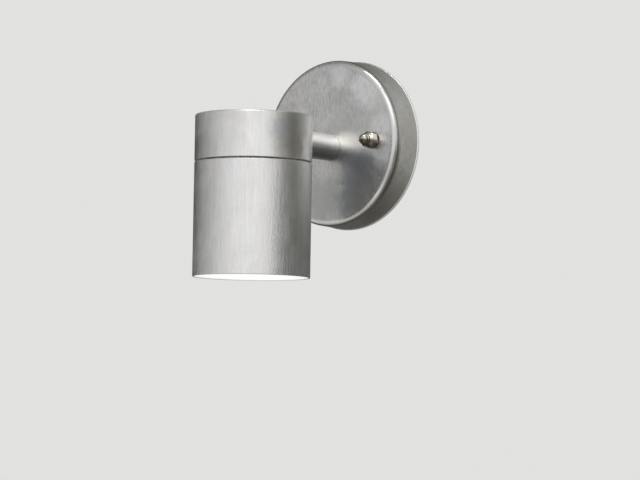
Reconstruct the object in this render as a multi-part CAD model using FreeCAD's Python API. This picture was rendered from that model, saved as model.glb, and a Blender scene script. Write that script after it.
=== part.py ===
import FreeCAD, Part
import math
import os

# Outdoor wall downlight in galvanised steel. Lengths are millimetres.
# X runs along the wall, Y into the wall and Z up. The origin is the centre of the canopy, on the wall.

# Shared clearances
seat_gap = 0.1
press_gap = 0.03
saddle_gap = 0.05
screw_gap = 0.1
overrun = 1.0
edge_tolerance = 0.01

# Canopy: a pressed dish with a slightly tapered side
canopy_radius = 45.0
canopy_taper = 1.1
canopy_depth = 19.0
canopy_wall = 1.5
canopy_edge_radius = 3.2
canopy_rim_radius = 0.4
gasket_height = 3.0
gasket_width = 3.0

# Wall bracket: a cross of steel plate
bracket_thickness = 2.0
bracket_corner_radius = 3.0
strap_height = 20.0
strap_end_margin = 7.0
tab_width = 22.0
tab_end_margin = 10.5
tongue_width = 34.0
tongue_inset = 14.0
slot_inset = 11.4
slot_length = 8.0
slot_width = 4.5

# Cable bush in the bracket's tab
cable_inset = 25.0
bush_bore_radius = 4.5
bush_wall = 2.5
bush_flange_width = 2.0
bush_flange_thickness = 1.5
bush_recess = 0.2

# Studs, seals and cap nuts that hold the canopy
stud_inset = 16.6
stud_radius = 2.5
stud_head_radius = 3.6
stud_head_thickness = 0.9
stud_hole_clearance = 0.25
nut_seal_radius = 4.3
nut_seal_thickness = 0.6
nut_across_flats = 8.0
nut_chamfer = 0.35
nut_hex_height = 3.5
nut_shoulder_base_radius = 4.3
nut_shoulder_top_radius = 2.75
nut_shoulder_height = 0.9
nut_waist_radius = 2.6
nut_waist_height = 0.3
nut_ball_radius = 2.95
nut_bore_depth = 4.2
nut_turns = (41, 12)

# Terminal block on the bracket's tongue
block_centre_x = -5.5
block_end_margin = 1.5
block_height = 15.0
block_width = 20.0
block_depth = 11.5
block_edge_radius = 0.6
pole_pitch = 11.0
pole_depth = 5.0
clamp_radius = 2.25
clamp_bore_radius = 1.3
clamp_end_margin = 1.0
clamp_screw_radius = 1.2
clamp_screw_spacing = 7.6
clamp_screw_recess = 1.0
block_web = 3.0
block_screw_radius = 1.5
block_screw_head_radius = 2.3
block_screw_head_height = 1.8

# Screw slots, shared by every slotted screw
screw_slot_width = 0.6
screw_slot_depth = 0.7

# Earth screws and their ring tags
earth_screw_radius = 2.0
earth_screw_head_radius = 3.5
earth_screw_head_height = 2.4
earth_screw_tail = 3.0
earth_screw_x = 10.5
earth_screw_end_margin = 7.0
tag_thickness = 0.8
tag_radius = 4.0
tag_barrel_radius = 1.6
tag_barrel_bore_radius = 1.0
tag_barrel_length = 5.0
tag_barrel_start = 4.6

# Arm and the threaded pipe through it
arm_drop = 2.4
arm_pipe_gap = 0.5
arm_wall = 1.5
pipe_radius = 5.0
pipe_bore_radius = 3.5
pipe_hole_clearance = 0.15
pipe_overhang = 1.5
pipe_nut_across_flats = 14.0
pipe_nut_height = 3.0
washer_margin = 0.5
lock_washer_thickness = 1.0
lock_washer_teeth = 12
lock_washer_tooth_depth = 0.9
saddle_thickness = 2.3
saddle_ceiling_gap = 1.35
pipe_bush_bore_radius = 3.0
pipe_bush_length = 4.0
pipe_bush_flange_radius = 4.8
pipe_bush_flange_thickness = 0.8

# Head: cap above, sleeve below
head_reach = 81.65
cap_wall = 2.0
cap_top_thickness = 2.0
cap_edge_radius = 0.8
seam_gap = 0.8
seam_edge_radius = 0.3
sleeve_wall = 2.0
sleeve_edge_radius = 0.3

# Collar that joins sleeve to cap, with its seals
collar_engagement = 5.0
collar_arm_gap = 0.35
collar_spigot_length = 10.0
collar_wall = 2.9
collar_running_gap = 0.25
collar_chamfer = 0.5
seam_seal_recess = 0.65
seam_seal_relief = 0.1
o_ring_radius = 0.9
o_ring_gap = 0.1
o_ring_depth = 4.7
o_ring_groove_clearance = 0.3
collar_screw_radius = 1.5
collar_screw_head_radius = 2.75
collar_screw_head_height = 1.8
collar_screw_skin = 0.5

# Lens in the sleeve's lower end
lens_rim = 0.8
lens_recess = 0.2
lens_thickness = 3.0
lens_edge_gap = 0.15
lens_edge_chamfer = 0.3
lens_seal_thickness = 0.8
lens_seal_width = 2.6

# Bridge and ceramic lamp holder
bridge_width = 12.0
bridge_thickness = 1.2
bridge_leg_margin = 3.05
bridge_headroom = 10.25
holder_radius = 13.0
holder_height = 15.0
holder_edge_radius = 0.8
holder_screw_spacing = 19.0
holder_screw_radius = 1.5
holder_screw_head_radius = 2.75
holder_screw_head_height = 1.9
holder_screw_depth = 6.0
bridge_earth_gap = 1.25
holder_lip = 2.0
lead_socket_depth = 5.0
lead_socket_clearance = 0.2
lead_passage_radius = 1.4
contact_width = 3.0
contact_length = 4.0
contact_thickness = 0.4
contact_stem_radius = 0.7

# Lamp
lamp_gap = 0.3
lamp_side_gap = 3.15
lamp_lens_gap = 4.35
lamp_length = 46.7
lamp_base_radius = 11.5
lamp_base_height = 7.0
lamp_front_radius = 25.0
lamp_rim_height = 9.0
lamp_flare_share = 0.58
lamp_edge_radius = 0.8
lamp_front_recess = 0.5
lamp_front_rim = 1.6
lamp_front_thickness = 1.5
pin_spacing = 10.0
pin_neck_radius = 1.45
pin_head_radius = 2.5
pin_length = 6.7
pin_contact_gap = 0.4
pin_neck_clearance = 0.25
pin_head_clearance = 0.3
pin_lip_clearance = 0.1
pin_edge_radius = 0.4
twist_angle = 20

# Leads
lead_radius = 0.9
lead_circle_radius = 1.6
lead_bend_height = 8.75
lead_arc_share = 0.45
clamp_bend_height = 6.0
mouth_run = 5.5
neutral_angle = 150
live_angle = 270
earth_angle = 30

# Places that follow from the sizes above
origin = FreeCAD.Vector(0, 0, 0)
right = FreeCAD.Vector(1, 0, 0)
inward = FreeCAD.Vector(0, 1, 0)
outward = FreeCAD.Vector(0, -1, 0)
up = FreeCAD.Vector(0, 0, 1)
sides = (-1, 1)
stud_x = canopy_radius - stud_inset
slot_x = stud_x - slot_inset
cable_z = canopy_radius - cable_inset
tongue_bottom = tongue_inset - canopy_radius
block_bottom = tongue_bottom + block_end_margin
block_top = block_bottom + block_height
block_front = -bracket_thickness - block_depth
pole_y = -bracket_thickness - pole_depth
earth_z = tongue_bottom + earth_screw_end_margin
arm_z = -arm_drop
sleeve_inner_radius = lamp_front_radius + lamp_side_gap
head_radius = sleeve_inner_radius + sleeve_wall
cap_inner_radius = head_radius - cap_wall
arm_radius = pipe_radius + arm_pipe_gap + arm_wall
lock_washer_radius = pipe_nut_across_flats / 2 + washer_margin
saddle_radius = lock_washer_radius
cap_top = arm_z + saddle_radius + saddle_ceiling_gap + cap_top_thickness
cap_bottom = arm_z - saddle_radius - collar_arm_gap - collar_engagement
cap_height = cap_top - cap_bottom
sleeve_top = cap_bottom - seam_gap
canopy_inside = canopy_wall - canopy_depth
cap_inside = cap_inner_radius - head_reach
ceiling = cap_top - cap_top_thickness
bridge_top = ceiling - bridge_headroom
holder_top = bridge_top - bridge_thickness
holder_seat = holder_top - holder_height
collar_top = cap_bottom + collar_engagement
collar_bottom = sleeve_top - collar_spigot_length
spigot_radius = sleeve_inner_radius - collar_running_gap
collar_inner_radius = spigot_radius - collar_wall
collar_screw_z = (collar_top + cap_bottom) / 2
bridge_radius = collar_inner_radius - seat_gap
bridge_leg_length = bridge_top - collar_screw_z + bridge_leg_margin
bridge_earth_x = holder_screw_spacing / 2 + holder_screw_head_radius + bridge_earth_gap + tag_radius
pin_circle_radius = pin_spacing / 2
holder_pocket_depth = pin_length - lamp_gap + pin_contact_gap + contact_thickness
pipe_wall_end = canopy_inside + lock_washer_thickness + pipe_nut_height + pipe_overhang
saddle_face = cap_inside - saddle_thickness
pipe_head_end = saddle_face - lock_washer_thickness - pipe_nut_height - pipe_overhang
lamp_top = holder_seat - lamp_gap
lamp_bottom = lamp_top - lamp_length
lens_radius = head_radius - lens_rim - lens_edge_gap
lens_top = lamp_bottom - lamp_lens_gap
lens_bottom = lens_top - lens_thickness
sleeve_bottom = lens_bottom - lens_recess


def at(x, y, z):
    """A point."""
    return FreeCAD.Vector(x, y, z)


def on_head_axis(z):
    """The point of the head's vertical axis at one height."""
    return at(0, -head_reach, z)


def rod(radius, length, base, direction=up):
    """A round bar."""
    return Part.makeCylinder(radius, length, base, direction)


def ring(outer_radius, inner_radius, length, base, direction=up):
    """A round tube or washer."""
    return rod(outer_radius, length, base, direction).cut(rod(inner_radius, length, base, direction))


def block(low, high):
    """A box between two corners."""
    size = high - low
    return Part.makeBox(size.x, size.y, size.z, low)


def edges_level(solid, axis, level):
    """The edges that lie wholly at one level of an axis: 0 for X, 1 for Y, 2 for Z."""
    found = []
    for edge in solid.Edges:
        box = edge.BoundBox
        low = (box.XMin, box.YMin, box.ZMin)[axis]
        high = (box.XMax, box.YMax, box.ZMax)[axis]
        if abs(low - level) < edge_tolerance and abs(high - level) < edge_tolerance:
            found.append(edge)
    return found


def rounded_disc(radius, length, base, edge_radius, direction=up):
    """A round bar whose end edges are both rounded."""
    bar = rod(radius, length, base, direction)
    circles = [edge for edge in bar.Edges if not isinstance(edge.Curve, Part.Line)]
    return bar.makeFillet(edge_radius, circles)


def hexagon_bar(across_flats, length, base, direction, turn=0):
    """A hexagonal bar along Y, with a corner towards +X before it is turned."""
    corner_radius = across_flats / math.sqrt(3)
    corners = []
    for step in range(7):
        angle = math.radians(60 * step + turn)
        corners.append(base + at(corner_radius * math.cos(angle), 0, corner_radius * math.sin(angle)))
    return Part.Face(Part.makePolygon(corners)).extrude(direction * length)


def turned(outline, base, direction=up):
    """A solid turned from (radius, height) points, where a pair of points makes an arc through the first."""
    def flat(point):
        return at(point[0], 0, point[1])

    edges = []
    here = flat(outline[0])
    for step in outline[1:]:
        if isinstance(step[0], tuple):
            through, end = flat(step[0]), flat(step[1])
            edges.append(Part.Arc(here, through, end).toShape())
        else:
            end = flat(step)
            edges.append(Part.makeLine(here, end))
        here = end
    edges.append(Part.makeLine(here, flat(outline[0])))
    solid = Part.Face(Part.Wire(edges)).revolve(origin, up, 360)
    solid.Placement = FreeCAD.Placement(base, FreeCAD.Rotation(up, direction))
    return solid


def screw(radius, length, head_radius, head_height, seat, direction):
    """A slotted screw: the head's underside lies at the seat and the shank runs the other way."""
    shank = rod(radius, length, seat, direction * -1)
    head = rod(head_radius, head_height, seat, direction)
    body = head.fuse(shank).removeSplitter()
    rim = [
        edge
        for edge in body.Edges
        if abs((edge.CenterOfMass - seat).dot(direction) - head_height) < edge_tolerance
        and not isinstance(edge.Curve, Part.Line)
    ]
    body = body.makeFillet(head_height / 4, rim)
    return body.cut(screw_slot(head_radius, seat + direction * head_height, direction))


def screw_slot(radius, top, direction):
    """The driver slot across a screw's end face."""
    length = 2 * (radius + overrun)
    slot = Part.makeBox(length, screw_slot_width, 2 * screw_slot_depth)
    slot.translate(at(-length / 2, -screw_slot_width / 2, -screw_slot_depth))
    slot.Placement = FreeCAD.Placement(top, FreeCAD.Rotation(up, direction)).multiply(slot.Placement)
    return slot


def canopy_side_radius(depth):
    """The canopy's outer radius at one depth from the wall."""
    return canopy_radius - canopy_taper * depth / canopy_depth


def canopy():
    """The dish, with a hole for the pipe and two for the studs."""
    outside = Part.makeCone(canopy_radius, canopy_side_radius(canopy_depth), canopy_depth, origin, outward)
    outside = outside.makeFillet(canopy_edge_radius, edges_level(outside, 1, -canopy_depth))
    outside = outside.makeFillet(canopy_rim_radius, edges_level(outside, 1, 0))
    hollow_depth = canopy_depth - canopy_wall
    rear = canopy_radius - canopy_wall
    front = canopy_side_radius(hollow_depth) - canopy_wall
    inside = Part.makeCone(rear, front, hollow_depth, origin, outward)
    inside = inside.makeFillet(canopy_edge_radius - canopy_wall, edges_level(inside, 1, canopy_inside))
    dish = outside.cut(inside)
    front_hole_start = at(0, canopy_inside + overrun, arm_z)
    dish = dish.cut(rod(pipe_radius + pipe_hole_clearance, canopy_wall + 2 * overrun, front_hole_start, outward))
    for side in sides:
        start = at(side * stud_x, canopy_inside + overrun, 0)
        dish = dish.cut(rod(stud_radius + stud_hole_clearance, canopy_wall + 2 * overrun, start, outward))
    return dish


def wall_gasket():
    """The foam ring inside the canopy's rim."""
    outer_radius = canopy_side_radius(gasket_height) - canopy_wall - seat_gap
    return ring(outer_radius, outer_radius - gasket_width, gasket_height, origin, outward)


def bracket_plate(width, low, high):
    """One arm of the bracket's cross, from one height to another."""
    plate = block(at(-width / 2, -bracket_thickness, low), at(width / 2, 0, high))
    corners = [edge for edge in plate.Edges if edge.BoundBox.YLength > bracket_thickness / 2]
    return plate.makeFillet(bracket_corner_radius, corners)


def bracket_hole(radius, x, z):
    """A hole through the bracket."""
    return rod(radius, bracket_thickness + 2 * overrun, at(x, overrun, z), outward)


def bracket_slot(x):
    """A screw slot along the strap."""
    reach = (slot_length - slot_width) / 2
    low = at(x - reach, -bracket_thickness - overrun, -slot_width / 2)
    high = at(x + reach, overrun, slot_width / 2)
    ends = [bracket_hole(slot_width / 2, x + side * reach, 0) for side in sides]
    return block(low, high).fuse(ends)


def wall_bracket():
    """Strap for the studs and wall screws, tab for the cable and tongue for the terminals."""
    half_strap = strap_height / 2
    strap = bracket_plate(2 * (stud_x + strap_end_margin), -half_strap, half_strap)
    tab = bracket_plate(tab_width, -half_strap, cable_z + tab_end_margin)
    tongue = bracket_plate(tongue_width, tongue_bottom, half_strap)
    bracket = strap.fuse([tab, tongue]).removeSplitter()
    holes = [bracket_hole(bush_bore_radius + bush_wall + seat_gap, 0, cable_z)]
    for side in sides:
        holes.append(bracket_hole(stud_radius + press_gap, side * stud_x, 0))
        head_seat = at(side * stud_x, overrun, 0)
        head_depth = stud_head_thickness + overrun
        holes.append(rod(stud_head_radius + press_gap, head_depth, head_seat, outward))
        holes.append(bracket_slot(side * slot_x))
    block_screw_z = block_top - block_height / 2
    holes.append(bracket_hole(block_screw_radius + press_gap, block_centre_x, block_screw_z))
    holes.append(bracket_hole(earth_screw_radius + press_gap, earth_screw_x, earth_z))
    return bracket.cut(holes)


def cable_bush():
    """The rubber bush that the supply cable comes in through."""
    body_radius = bush_bore_radius + bush_wall
    start = at(0, -bush_recess, cable_z)
    body = rod(body_radius, bracket_thickness - bush_recess, start, outward)
    flange_start = at(0, -bracket_thickness, cable_z)
    flange = rod(body_radius + bush_flange_width, bush_flange_thickness, flange_start, outward)
    bush = body.fuse(flange).removeSplitter()
    flange_face = -bracket_thickness - bush_flange_thickness
    bush = bush.makeFillet(bush_flange_thickness / 2, edges_level(bush, 1, flange_face))
    return bush.cut(rod(bush_bore_radius, bracket_thickness + bush_flange_thickness, start, outward))


def bracket_stud(side):
    """A press-in stud with its flush head at the back of the bracket."""
    base = at(side * stud_x, 0, 0)
    length = canopy_depth + nut_seal_thickness + nut_bore_depth - overrun
    return rod(stud_radius, length, base, outward).fuse(rod(stud_head_radius, stud_head_thickness, base, outward))


def nut_seal(side):
    """The fibre washer under a cap nut."""
    base = at(side * stud_x, -canopy_depth, 0)
    return ring(nut_seal_radius, stud_radius + screw_gap, nut_seal_thickness, base, outward)


def cap_nut(side, turn):
    """A cap nut: hexagon, sloping shoulder, waist and ball."""
    base = at(side * stud_x, -canopy_depth - nut_seal_thickness, 0)
    corner_radius = nut_across_flats / math.sqrt(3)
    shoulder_top = nut_hex_height + nut_shoulder_height
    waist_top = shoulder_top + nut_waist_height
    outline = [
        (0, 0),
        (corner_radius - nut_chamfer, 0),
        (corner_radius, nut_chamfer),
        (corner_radius, nut_hex_height - nut_chamfer),
        (nut_shoulder_base_radius, nut_hex_height),
        (nut_shoulder_top_radius, shoulder_top),
        (nut_waist_radius, waist_top),
        (0, waist_top),
    ]
    body = turned(outline, base, outward)
    body = body.common(hexagon_bar(nut_across_flats, waist_top, base, outward, turn))
    sink = math.sqrt(nut_ball_radius ** 2 - nut_waist_radius ** 2)
    ball = Part.makeSphere(nut_ball_radius, base + outward * (waist_top + sink))
    bore = rod(stud_radius + press_gap, nut_bore_depth, base, outward)
    return body.fuse(ball).cut(bore)


def terminal_block():
    """The moulded block with two poles and a fixing screw between them."""
    low = at(block_centre_x - block_width / 2, block_front, block_bottom)
    high = at(block_centre_x + block_width / 2, -bracket_thickness, block_top)
    body = block(low, high)
    body = body.makeFillet(block_edge_radius, edges_level(body, 1, block_front))
    cuts = []
    for side in sides:
        x = block_centre_x + side * pole_pitch / 2
        tunnel_start = at(x, pole_y, block_bottom - overrun)
        cuts.append(rod(clamp_radius + seat_gap, block_height + 2 * overrun, tunnel_start))
        for z in clamp_screw_heights():
            well_depth = block_depth - pole_depth + overrun
            well_start = at(x, block_front - overrun, z)
            cuts.append(rod(clamp_screw_radius + 2 * seat_gap, well_depth, well_start, inward))
    middle_z = block_top - block_height / 2
    web_face = -bracket_thickness - block_web
    cuts.append(rod(block_screw_radius + screw_gap, block_web + overrun, at(block_centre_x, web_face, middle_z), inward))
    recess_depth = block_depth - block_web + overrun
    recess_start = at(block_centre_x, block_front - overrun, middle_z)
    cuts.append(rod(block_screw_head_radius + seat_gap, recess_depth, recess_start, inward))
    return body.cut(cuts)


def clamp_screw_heights():
    """The heights of the two screws of one clamp."""
    middle = block_top - block_height / 2
    return [middle + side * clamp_screw_spacing / 2 for side in sides]


def terminal_clamp(side):
    """The brass tube of one pole."""
    x = block_centre_x + side * pole_pitch / 2
    base = at(x, pole_y, block_bottom + clamp_end_margin)
    tube = ring(clamp_radius, clamp_bore_radius, block_height - 2 * clamp_end_margin, base)
    for z in clamp_screw_heights():
        hole_start = at(x, pole_y, z)
        tube = tube.cut(rod(clamp_screw_radius + press_gap, clamp_radius + overrun, hole_start, outward))
    return tube


def terminal_screw(side, z):
    """A grub screw that pinches a conductor in its clamp."""
    x = block_centre_x + side * pole_pitch / 2
    top = at(x, block_front + clamp_screw_recess, z)
    tip_y = pole_y - lead_radius - press_gap
    grub = rod(clamp_screw_radius, tip_y - top.y, top, inward)
    return grub.cut(screw_slot(clamp_screw_radius, top, outward))


def block_screw():
    """The screw that fixes the terminal block to the bracket."""
    seat = at(block_centre_x, -bracket_thickness - block_web, block_top - block_height / 2)
    length = block_web + bracket_thickness - bush_recess
    return screw(block_screw_radius, length, block_screw_head_radius, block_screw_head_height, seat, outward)


def earth_screw(seat, length, direction):
    """An earth screw that clamps a ring tag."""
    return screw(earth_screw_radius, length, earth_screw_head_radius, earth_screw_head_height, seat, direction)


def earth_screws():
    """The earth screws of the bracket and of the bridge."""
    bracket_seat = at(earth_screw_x, -bracket_thickness - tag_thickness, earth_z)
    bridge_seat = on_head_axis(bridge_top + tag_thickness) + right * bridge_earth_x
    bracket_length = tag_thickness + bracket_thickness - bush_recess
    bridge_length = tag_thickness + bridge_thickness + earth_screw_tail
    return [
        earth_screw(bracket_seat, bracket_length, outward),
        earth_screw(bridge_seat, bridge_length, up),
    ]


def ring_tag(centre, normal, along):
    """A ring tag lying on a face, with its crimp barrel pointing along it."""
    eye = rod(tag_radius, tag_thickness, centre, normal)
    barrel_axis = centre + normal * tag_barrel_radius
    start = barrel_axis + along * tag_barrel_start
    barrel = rod(tag_barrel_radius, tag_barrel_length, start, along)
    across = normal.cross(along)
    neck_corners = [
        centre - across * tag_barrel_radius,
        centre + across * tag_barrel_radius,
        centre + across * tag_barrel_radius + along * (tag_barrel_start + tag_thickness),
        centre - across * tag_barrel_radius + along * (tag_barrel_start + tag_thickness),
    ]
    neck = Part.Face(Part.makePolygon(neck_corners + neck_corners[:1])).extrude(normal * tag_thickness)
    tag = eye.fuse([neck, barrel]).removeSplitter()
    hole = rod(earth_screw_radius + screw_gap, tag_thickness, centre, normal)
    bore = rod(tag_barrel_bore_radius, tag_barrel_length, start + along * tag_thickness, along)
    return tag.cut([hole, bore])


def earth_tags():
    """The ring tags at both ends of the earth lead."""
    bracket_tag = ring_tag(at(earth_screw_x, -bracket_thickness, earth_z), outward, up)
    bridge_tag = ring_tag(on_head_axis(bridge_top) + right * bridge_earth_x, up, inward)
    return [bracket_tag, bridge_tag]


def arm_tube():
    """The visible arm, flat on the canopy and saddle-cut to the head cap."""
    length = head_reach - canopy_depth
    tube = ring(arm_radius, arm_radius - arm_wall, length, at(0, -canopy_depth, arm_z), outward)
    clear_radius = head_radius + saddle_gap
    clear_height = 2 * (arm_radius + overrun)
    return tube.cut(rod(clear_radius, clear_height, on_head_axis(arm_z - clear_height / 2)))


def threaded_pipe():
    """The hollow rod that pulls canopy, arm and head together."""
    base = at(0, pipe_wall_end, arm_z)
    return ring(pipe_radius, pipe_bore_radius, pipe_wall_end - pipe_head_end, base, outward)


def pipe_nut(base, direction):
    """A thin lock nut on the pipe, with chamfered corners."""
    corner_radius = pipe_nut_across_flats / math.sqrt(3)
    chamfer = corner_radius - pipe_nut_across_flats / 2
    outline = [
        (0, 0),
        (corner_radius - chamfer, 0),
        (corner_radius, chamfer / 2),
        (corner_radius, pipe_nut_height - chamfer / 2),
        (corner_radius - chamfer, pipe_nut_height),
        (0, pipe_nut_height),
    ]
    nut = turned(outline, base, direction)
    nut = nut.common(hexagon_bar(pipe_nut_across_flats, pipe_nut_height, base, direction))
    return nut.cut(rod(pipe_radius + press_gap, pipe_nut_height, base, direction))


def lock_washer(base, direction):
    """A toothed washer under a pipe nut."""
    washer = ring(lock_washer_radius, pipe_radius + screw_gap, lock_washer_thickness, base, direction)
    notches = []
    for tooth in range(lock_washer_teeth):
        angle = 2 * math.pi * tooth / lock_washer_teeth
        spoke = at(lock_washer_radius * math.cos(angle), 0, lock_washer_radius * math.sin(angle))
        notches.append(rod(lock_washer_tooth_depth, lock_washer_thickness, base + spoke, direction))
    return washer.cut(notches)


def pipe_fixings():
    """The nuts, lock washers and end bushes of both ends of the pipe."""
    nuts, washers, bushes = [], [], []
    ends = ((canopy_inside, pipe_wall_end, inward), (saddle_face, pipe_head_end, outward))
    for face, end, direction in ends:
        face_point = at(0, face, arm_z)
        washers.append(lock_washer(face_point, direction))
        nuts.append(pipe_nut(face_point + direction * lock_washer_thickness, direction))
        bushes.append(pipe_bush(at(0, end, arm_z), direction))
    return nuts, washers, bushes


def pipe_bush(end, direction):
    """The insulating bush that keeps the leads off the pipe's edge."""
    stem = rod(pipe_bore_radius - seat_gap, pipe_bush_length, end, direction * -1)
    flange = rod(pipe_bush_flange_radius, pipe_bush_flange_thickness, end, direction)
    bush = stem.fuse(flange).removeSplitter()
    bore_start = end + direction * (pipe_bush_flange_thickness + overrun)
    bore_length = pipe_bush_length + pipe_bush_flange_thickness + 2 * overrun
    return bush.cut(rod(pipe_bush_bore_radius, bore_length, bore_start, direction * -1))


def saddle_washer():
    """The washer that fills the curve between the cap's wall and the flat nut."""
    bar = ring(saddle_radius, pipe_radius + screw_gap, cap_inner_radius, at(0, saddle_face, arm_z), inward)
    inner_wall = rod(cap_inner_radius - saddle_gap, 2 * cap_height, on_head_axis(cap_bottom - cap_height / 2))
    return bar.common(inner_wall)


def head_cap():
    """The closed upper cylinder of the head."""
    body = rod(head_radius, cap_height, on_head_axis(cap_bottom))
    body = body.makeFillet(cap_edge_radius, edges_level(body, 2, cap_top))
    body = body.makeFillet(seam_edge_radius, edges_level(body, 2, cap_bottom))
    body = body.cut(rod(cap_inner_radius, ceiling - cap_bottom, on_head_axis(cap_bottom)))
    body = body.cut(rod(pipe_radius + pipe_hole_clearance, head_radius + overrun, at(0, -head_reach, arm_z), inward))
    screw_reach = head_radius - collar_screw_skin
    for side in sides:
        centre = on_head_axis(collar_screw_z)
        body = body.cut(rod(collar_screw_radius + press_gap, screw_reach, centre, right * side))
    return body


def spigot_collar():
    """The turned ring that is pressed into the cap and that the sleeve slides on."""
    upper = rod(cap_inner_radius - press_gap, collar_top - cap_bottom, on_head_axis(cap_bottom))
    lower = rod(spigot_radius, cap_bottom - collar_bottom, on_head_axis(collar_bottom))
    lower = lower.makeChamfer(collar_chamfer, edges_level(lower, 2, collar_bottom))
    bore = rod(collar_inner_radius, collar_top - collar_bottom, on_head_axis(collar_bottom))
    collar = upper.fuse(lower).removeSplitter().cut(bore)
    groove_height = 2 * (o_ring_radius + o_ring_groove_clearance)
    groove_floor = sleeve_inner_radius - o_ring_gap - 2 * o_ring_radius
    groove_start = on_head_axis(sleeve_top - o_ring_depth - groove_height / 2)
    collar = collar.cut(ring(spigot_radius + overrun, groove_floor, groove_height, groove_start))
    for side in sides:
        centre = on_head_axis(collar_screw_z)
        collar = collar.cut(rod(collar_screw_radius + screw_gap, head_radius, centre, right * side))
    return collar


def collar_screw(side):
    """A screw from inside, through bridge and collar, into the cap's wall."""
    direction = right * -side
    seat_distance = math.sqrt((bridge_radius - bridge_thickness) ** 2 - collar_screw_head_radius ** 2)
    seat = on_head_axis(collar_screw_z) + right * (side * seat_distance)
    length = head_radius - collar_screw_skin - screw_gap - seat_distance
    return screw(collar_screw_radius, length, collar_screw_head_radius, collar_screw_head_height, seat, direction)


def seam_seal():
    """The flat seal in the seam, set back from the outside."""
    height = seam_gap - seam_seal_relief
    base = on_head_axis(cap_bottom - height)
    return ring(head_radius - seam_seal_recess, spigot_radius + seat_gap, height, base)


def o_ring():
    """The ring that grips the sleeve."""
    middle_radius = sleeve_inner_radius - o_ring_gap - o_ring_radius
    return Part.makeTorus(middle_radius, o_ring_radius, on_head_axis(sleeve_top - o_ring_depth))


def holder_bridge():
    """A strap bent down at both ends to the collar's bore."""
    leg_end = on_head_axis(bridge_top - bridge_leg_length)
    outer = rod(bridge_radius, bridge_leg_length, leg_end)
    hollow = rod(bridge_radius - bridge_thickness, bridge_leg_length - bridge_thickness, leg_end)
    low = leg_end - at(head_radius, bridge_width / 2, 0)
    high = on_head_axis(bridge_top) + at(head_radius, bridge_width / 2, 0)
    strap = outer.cut(hollow).common(block(low, high))
    cuts = []
    for side in sides:
        cuts.append(rod(collar_screw_radius + screw_gap, head_radius, on_head_axis(collar_screw_z), right * side))
        passage = on_head_axis(holder_top - overrun) + right * (side * pin_circle_radius)
        cuts.append(rod(lead_passage_radius, bridge_thickness + 2 * overrun, passage))
        screw_place = on_head_axis(holder_top - overrun) + right * (side * holder_screw_spacing / 2)
        cuts.append(rod(holder_screw_radius + screw_gap, bridge_thickness + 2 * overrun, screw_place))
    earth_place = on_head_axis(holder_top - overrun) + right * bridge_earth_x
    cuts.append(rod(earth_screw_radius + press_gap, bridge_thickness + 2 * overrun, earth_place))
    return strap.cut(cuts)


def pin_slot(half_width, low, height, turn):
    """A curved slot on the pin circle, from the free place to the locked place."""
    centre = on_head_axis(low)
    outer = Part.makeCylinder(pin_circle_radius + half_width, height, centre, up, twist_angle)
    inner = Part.makeCylinder(pin_circle_radius - half_width, height, centre, up, twist_angle)
    slot = outer.cut(inner)
    slot.rotate(centre, up, -twist_angle)
    locked = rod(half_width, height, centre + right * pin_circle_radius)
    slot = slot.fuse([locked, pin_entry(half_width, low, height)]).removeSplitter()
    slot.rotate(centre, up, turn)
    return slot


def pin_entry(radius, low, height, turn=0):
    """A round hole at the place where a pin goes in."""
    centre = on_head_axis(low)
    entry = rod(radius, height, centre + right * pin_circle_radius)
    entry.rotate(centre, up, turn - twist_angle)
    return entry


def lamp_holder():
    """The ceramic twist-lock holder, with two pin slots below and two lead sockets above."""
    body = rounded_disc(holder_radius, holder_height, on_head_axis(holder_seat), holder_edge_radius)
    lip_top = holder_seat + holder_lip
    pocket_top = holder_seat + holder_pocket_depth
    head_half_width = pin_head_radius + pin_head_clearance
    cuts = []
    for turn in (0, 180):
        neck_half_width = pin_neck_radius + pin_neck_clearance
        neck_height = holder_lip + 2 * overrun
        cuts.append(pin_slot(neck_half_width, holder_seat - overrun, neck_height, turn))
        cuts.append(pin_slot(head_half_width, lip_top, pocket_top - lip_top, turn))
        cuts.append(pin_entry(head_half_width, holder_seat - overrun, neck_height, turn))
    for side in sides:
        place = on_head_axis(holder_top) + right * (side * pin_circle_radius)
        cuts.append(rod(lead_radius + lead_socket_clearance, lead_socket_depth, place, up * -1))
        stem_depth = holder_height - holder_pocket_depth
        cuts.append(rod(contact_stem_radius + seat_gap, stem_depth, place, up * -1))
        screw_place = on_head_axis(holder_top) + right * (side * holder_screw_spacing / 2)
        cuts.append(rod(holder_screw_radius + press_gap, holder_screw_depth + seat_gap, screw_place, up * -1))
    return body.cut(cuts)


def holder_screw(side):
    """A screw that hangs the holder from the bridge."""
    seat = on_head_axis(bridge_top) + right * (side * holder_screw_spacing / 2)
    length = bridge_thickness + holder_screw_depth
    return screw(holder_screw_radius, length, holder_screw_head_radius, holder_screw_head_height, seat, up)


def holder_contact(side):
    """A contact leaf over a locked pin, with its stem up to the lead."""
    pocket_top = holder_seat + holder_pocket_depth
    middle = on_head_axis(pocket_top) + right * (side * pin_circle_radius)
    half = at(contact_width / 2, contact_length / 2, 0)
    leaf = block(middle - half - up * contact_thickness, middle + half)
    stem_height = holder_height - holder_pocket_depth - lead_socket_depth
    return leaf.fuse(rod(contact_stem_radius, stem_height, middle)).removeSplitter()


def sleeve():
    """The removable lower cylinder, counterbored below for the lens."""
    body = ring(head_radius, sleeve_inner_radius, sleeve_top - sleeve_bottom, on_head_axis(sleeve_bottom))
    rebate_depth = lens_recess + lens_thickness + lens_seal_thickness
    body = body.cut(rod(head_radius - lens_rim, rebate_depth, on_head_axis(sleeve_bottom)))
    outer_edges = []
    for level in (sleeve_top, sleeve_bottom):
        for edge in edges_level(body, 2, level):
            if edge.BoundBox.XLength > 2 * head_radius - sleeve_edge_radius:
                outer_edges.append(edge)
    return body.makeFillet(sleeve_edge_radius, outer_edges)


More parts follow.
